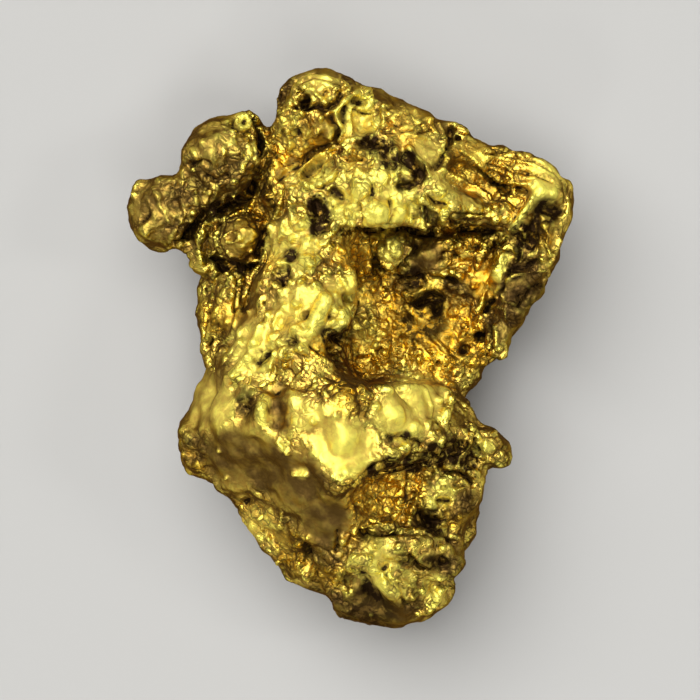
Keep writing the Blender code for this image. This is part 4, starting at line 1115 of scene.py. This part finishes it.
class Metal:
    """The patterns in the gold that its colour, its polish and its relief share."""

    def __init__(self, graph):
        self.stain, self.grime, self.worn_and_highlit = graph.trace("stain"), graph.trace("grime"), graph.trace("worn_and_highlit")
        self.dull_and_shade, self.calm = graph.trace("dull_and_shade"), graph.trace("calm")
        self.bright, self.painted_shade = graph.trace("bright"), graph.trace("painted_shade")
        place = graph.add("ShaderNodeTexCoord").outputs["Object"]
        self.place = graph.vector("SCALE", place, scale=1.0 / MM)
        bend = graph.noise(self.place, BEND, 1.0, output="Color")
        self.bent = graph.vector("MULTIPLY_ADD", bend, (BEND_REACH,) * 3, self.place)
        self.speck = graph.noise(self.place, SPECK, 3.0, 0.6)
        self.blotch = graph.noise(self.place, BLOTCH, 3.0, 0.6)

        self.rough_zone = graph.less(1.0, graph.times(self.calm, 0.85))
        self.grainy = graph.times(graph.stretch(self.blotch, 0.40, 0.56, 0.25, 1.0), self.rough_zone)
        self.edge = graph.cells(self.bent, GRAIN)
        self.tone = graph.cells(self.bent, GRAIN, "F1", "Color")
        self.ledges = graph.times(graph.noise(self.bent, LEDGE, 1.5), 7.0)
        patchy = graph.stretch(self.speck, 0.30, 0.60, 1.15, 0.55)
        self.stained = graph.times(self.stain, patchy, clamp=True)
        folds = graph.times(graph.noise(self.bent, CURL, 2.0, 0.6), 6.0)
        curl = graph.stretch(graph.number("PINGPONG", folds, 0.5), 0.17, 0.05)
        self.curl = graph.times(curl, graph.times(self.stained, 0.60))
        self.dull_and_shaded = self.dull_and_shade_share(graph)
        self.shaded = self.shade_share(graph)

    def dull_and_shade_share(self, graph):
        """How much of the brown bloom and painted shade a place keeps: rubbed, highlit edges lose it."""
        bloom = graph.times(self.dull_and_shade, graph.stretch(self.blotch, 0.30, 0.65, 0.70, 1.10))
        rubbed = graph.times(graph.less(1.0, self.dull_and_shade), 0.6)
        return graph.less(bloom, graph.times(self.worn_and_highlit, rubbed), clamp=True)

    def shade_share(self, graph):
        """How much shade is painted on a place: in pits, grooves and hollows, between the grains, at the
        feet of the ledges, and as shadow in blots.
        """
        pits = graph.times(self.grime, graph.stretch(self.speck, 0.35, 0.65, 0.55, 1.35), clamp=True)
        # Painted shade in the gaps between the grains.
        gaps = graph.times(graph.less(1.0, graph.stretch(self.edge, 0.0, 0.17)), self.grainy)
        # Painted shade at the feet of the ledges.
        feet = graph.stretch(graph.number("PINGPONG", self.ledges, 0.5), 0.12, 0.0)
        feet = graph.times(feet, self.rough_zone)
        # Painted shadow and reflections of the darkness, in blots where the shade discs lie.
        shade_blots = graph.stretch(graph.noise(self.bent, SHADE_BLOT, 3.0, 0.65), 0.64, 0.45, 0.32, 1.05)
        shaded = graph.number("MAXIMUM", pits, graph.times(gaps, 0.85))
        shaded = graph.number("MAXIMUM", shaded, graph.times(feet, 0.60))
        return graph.number("MAXIMUM", shaded, graph.times(self.painted_shade, shade_blots, clamp=True))


def gold_colour(graph, metal, colours):
    """Lemon crests on gold, rubbed and with painted highlight, orange stains with lemon curls, then the
    brown bloom with painted shade, and painted shade and shadow over them.
    """
    # Lemon on rubbed crests with painted highlight, more where light is painted.
    crest_and_highlight = graph.plus(graph.times(metal.worn_and_highlit, 0.50), graph.stretch(metal.speck, 0.40, 0.60, 0.0, 0.35))
    crest_and_highlight = graph.plus(crest_and_highlight, graph.times(metal.bright, 0.40))
    toned = graph.times(graph.stretch(metal.tone, 0.35, 0.65, -0.35, 0.35), metal.grainy)
    colour = graph.mix(graph.plus(crest_and_highlight, toned, clamp=True), tuple(colours.gold), tuple(colours.lemon))
    colour = graph.mix(metal.stained, colour, tuple(colours.orange))
    colour = graph.mix(metal.curl, colour, tuple(colours.lemon))
    # Brown bloom with painted shade, then painted shade and shadow in near-black brown.
    colour = graph.mix(metal.dull_and_shaded, colour, tuple(colours.dull_and_shade))
    return graph.mix(metal.shaded, colour, tuple(colours.shade_brown))


def gold_roughness(graph, metal):
    """Polished at the specks, softer where calm or painted lit, rougher under bloom and painted shade."""
    rough = graph.stretch(metal.speck, 0.30, 0.70, 0.20, 0.32)
    softer = ((metal.calm, 0.10), (metal.bright, 0.10), (metal.dull_and_shaded, 0.20), (metal.shaded, 0.25))
    for pattern, share in softer:
        rough = graph.plus(rough, graph.times(pattern, share))
    return rough


def gold_relief(graph, metal):
    """The normal of the finest relief: grains that each lean their own way, ledges, specks and curls."""
    lean = graph.vector("MULTIPLY_ADD", metal.tone, (2.0 * GRAIN_LEAN,) * 3, (-GRAIN_LEAN,) * 3)
    facet = graph.vector("SCALE", lean, scale=metal.grainy)
    leant = graph.vector("ADD", graph.add("ShaderNodeNewGeometry").outputs["Normal"], facet)

    height = graph.times(graph.stretch(metal.edge, 0.0, 0.42), graph.times(metal.grainy, 1.3))
    risen = graph.plus(metal.ledges, 0.5)
    slopes = graph.stretch(graph.number("FRACT", risen), 0.35, 0.65)
    steps = graph.plus(graph.number("FLOOR", risen), slopes)
    height = graph.plus(height, graph.times(steps, graph.times(metal.rough_zone, 0.5)))
    height = graph.plus(graph.plus(height, graph.times(metal.speck, 0.4)), metal.curl)
    bump = graph.add("ShaderNodeBump")
    graph.feed(bump.inputs["Distance"], RELIEF * MM)
    graph.feed(bump.inputs["Height"], height)
    graph.feed(bump.inputs["Normal"], graph.vector("NORMALIZE", leant))
    return bump.outputs[0]


def gold_material(colours):
    """Native gold: grainy, rubbed, stained, bloomed, and painted lit and shaded where the mesh says so."""
    material = bpy.data.materials.new("native_gold")
    material.use_nodes = True
    graph = Graph(material)
    metal = Metal(graph)
    shader = graph.nodes["Principled BSDF"].inputs
    graph.feed(shader["Base Color"], gold_colour(graph, metal, colours))
    graph.feed(shader["Roughness"], gold_roughness(graph, metal))
    # Where light is painted, the gold is made partly non-metal so that it takes more light.
    graph.feed(shader["Metallic"], graph.less(1.0, graph.times(metal.bright, 0.30)))
    sheen = graph.mix(metal.dull_and_shaded, tuple(colours.sheen), tuple(colours.dull_sheen))
    graph.feed(shader["Specular Tint"], sheen)
    graph.feed(shader["Normal"], gold_relief(graph, metal))
    return material


class NUGGET_OT_body(Operator):
    """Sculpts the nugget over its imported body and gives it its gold"""

    bl_idname = "nugget.body"
    bl_label = "Nugget"

    def execute(self, context):
        shape = context.scene.nugget_shape
        body = new_body(shape)
        surface = Surface(body.data)
        weather(surface, sculpt(surface, shape))
        thin_out(body, shape)
        body.data.materials.clear()
        body.data.materials.append(gold_material(context.scene.nugget_colours))
        body.data.shade_smooth()
        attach(body, "root")
        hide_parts(BODY_NODE)
        return {"FINISHED"}


# ---------------------------------------------------------------- the stage

FLOOR_RADIUS = 0.45
WALL_RADIUS = 0.62
WALL_HEIGHT = 0.16
RINGS, SPOKES = 12, 96
SENSOR_WIDTH = 36.0
CLIP_START, CLIP_END = 0.001, 10.0

# A softbox is (place, side length, brightness), and it faces the nugget.
SOFTBOXES = {
    "key": ((-0.40, 0.50, 1.30), 1.60, 4.2),
    "side": ((1.00, 0.10, 0.95), 0.22, 12.0),
    "front": ((-0.30, -1.00, 0.95), 0.20, 12.0),
    "fill": ((0.12, -0.50, 1.20), 0.60, 3.6),
}


def floor_profile():
    """The floor's outline from its middle out, as (radius, height): flat, then a quarter turn up."""
    profile = [(FLOOR_RADIUS * share, 0.0) for share in (0.25, 0.5, 0.75, 1.0)]
    rise = WALL_RADIUS - FLOOR_RADIUS
    for ring in range(1, RINGS + 1):
        angle = 0.5 * pi * ring / RINGS
        profile.append((FLOOR_RADIUS + rise * sin(angle), rise * (1.0 - cos(angle))))
    return profile + [(WALL_RADIUS, rise + WALL_HEIGHT)]


def studio_floor(colour):
    """A round floor that turns up into a low wall, as one surface."""
    spokes = [(cos(2.0 * pi * k / SPOKES), sin(2.0 * pi * k / SPOKES)) for k in range(SPOKES)]
    bm = bmesh.new()
    rows = [[bm.verts.new((radius * x, radius * y, height)) for x, y in spokes]
            for radius, height in floor_profile()]
    bm.faces.new(rows[0])
    for lower, upper in zip(rows, rows[1:]):
        for k in range(SPOKES):
            after = (k + 1) % SPOKES
            bm.faces.new((lower[k], upper[k], upper[after], lower[after]))
    mesh = bpy.data.meshes.new("studio_floor")
    bm.to_mesh(mesh)
    bm.free()
    mesh.shade_smooth()
    mesh.materials.append(floor_material(colour))
    floor = bpy.data.objects.new("studio_floor", mesh)
    bpy.context.scene.collection.objects.link(floor)


def floor_material(colour):
    """A matt, plain floor."""
    material = bpy.data.materials.new("pale_floor")
    material.use_nodes = True
    shader = material.node_tree.nodes["Principled BSDF"].inputs
    shader["Base Color"].default_value = colour
    shader["Roughness"].default_value = 0.9
    shader["Specular IOR Level"].default_value = 0.1
    return material


def softbox(name, place, size, radiance):
    """A square light that faces the nugget, with the same brightness all over."""
    light = bpy.data.lights.new(name, "AREA")
    light.shape = "SQUARE"
    light.size = size
    light.energy = radiance * pi * size * size
    lamp = bpy.data.objects.new(name, light)
    lamp.location = place
    lamp.rotation_mode = "QUATERNION"
    lamp.rotation_quaternion = (-Vector(place)).to_track_quat("-Z", "Y")
    bpy.context.scene.collection.objects.link(lamp)


def studio_camera(studio):
    """A long lens that looks straight down."""
    camera = bpy.data.objects.new("camera", bpy.data.cameras.new("camera"))
    camera.data.lens = studio.lens
    camera.data.sensor_width = SENSOR_WIDTH
    camera.data.clip_start, camera.data.clip_end = CLIP_START, CLIP_END
    camera.location = (0.0, 0.0, studio.rim_height + studio.frame_width * studio.lens / SENSOR_WIDTH)
    bpy.context.scene.collection.objects.link(camera)
    bpy.context.scene.camera = camera


def studio_world(colour):
    """The same faint light from all round."""
    world = bpy.data.worlds.new("studio")
    world.use_nodes = True
    world.node_tree.nodes["Background"].inputs["Color"].default_value = colour
    bpy.context.scene.world = world


class NUGGET_OT_stage(Operator):
    """Makes the floor, the softboxes, the world and the camera"""

    bl_idname = "nugget.stage"
    bl_label = "Stage"

    def execute(self, context):
        studio = context.scene.nugget_studio
        studio_floor(tuple(studio.floor))
        for name, (place, size, radiance) in SOFTBOXES.items():
            softbox(name, place, size, radiance)
        studio_world(tuple(studio.ambient))
        studio_camera(studio)
        context.scene.view_settings.view_transform = "Standard"
        return {"FINISHED"}


# ---------------------------------------------------------------- the add-on

class NUGGET_PT_studio(Panel):
    """Lists the sizes, the colours and the makers"""

    bl_idname = "NUGGET_PT_studio"
    bl_label = "Nugget"
    bl_space_type = "VIEW_3D"
    bl_region_type = "UI"
    bl_category = "Nugget"

    def draw(self, context):
        scene = context.scene
        for group in (scene.nugget_shape, scene.nugget_colours, scene.nugget_studio):
            box = self.layout.box()
            for name in group.__annotations__:
                box.prop(group, name)
        self.layout.operator("nugget.body")
        self.layout.operator("nugget.stage")


CLASSES = (NuggetShape, NuggetColours, NuggetStudio, NUGGET_OT_body, NUGGET_OT_stage, NUGGET_PT_studio)


def register():
    for cls in CLASSES:
        bpy.utils.register_class(cls)
    bpy.types.Scene.nugget_shape = PointerProperty(type=NuggetShape)
    bpy.types.Scene.nugget_colours = PointerProperty(type=NuggetColours)
    bpy.types.Scene.nugget_studio = PointerProperty(type=NuggetStudio)


def unregister():
    del bpy.types.Scene.nugget_shape
    del bpy.types.Scene.nugget_colours
    del bpy.types.Scene.nugget_studio
    for cls in reversed(CLASSES):
        bpy.utils.unregister_class(cls)


def main():
    register()
    bpy.ops.nugget.body()
    bpy.ops.nugget.stage()


if __name__ == "__main__":
    main()
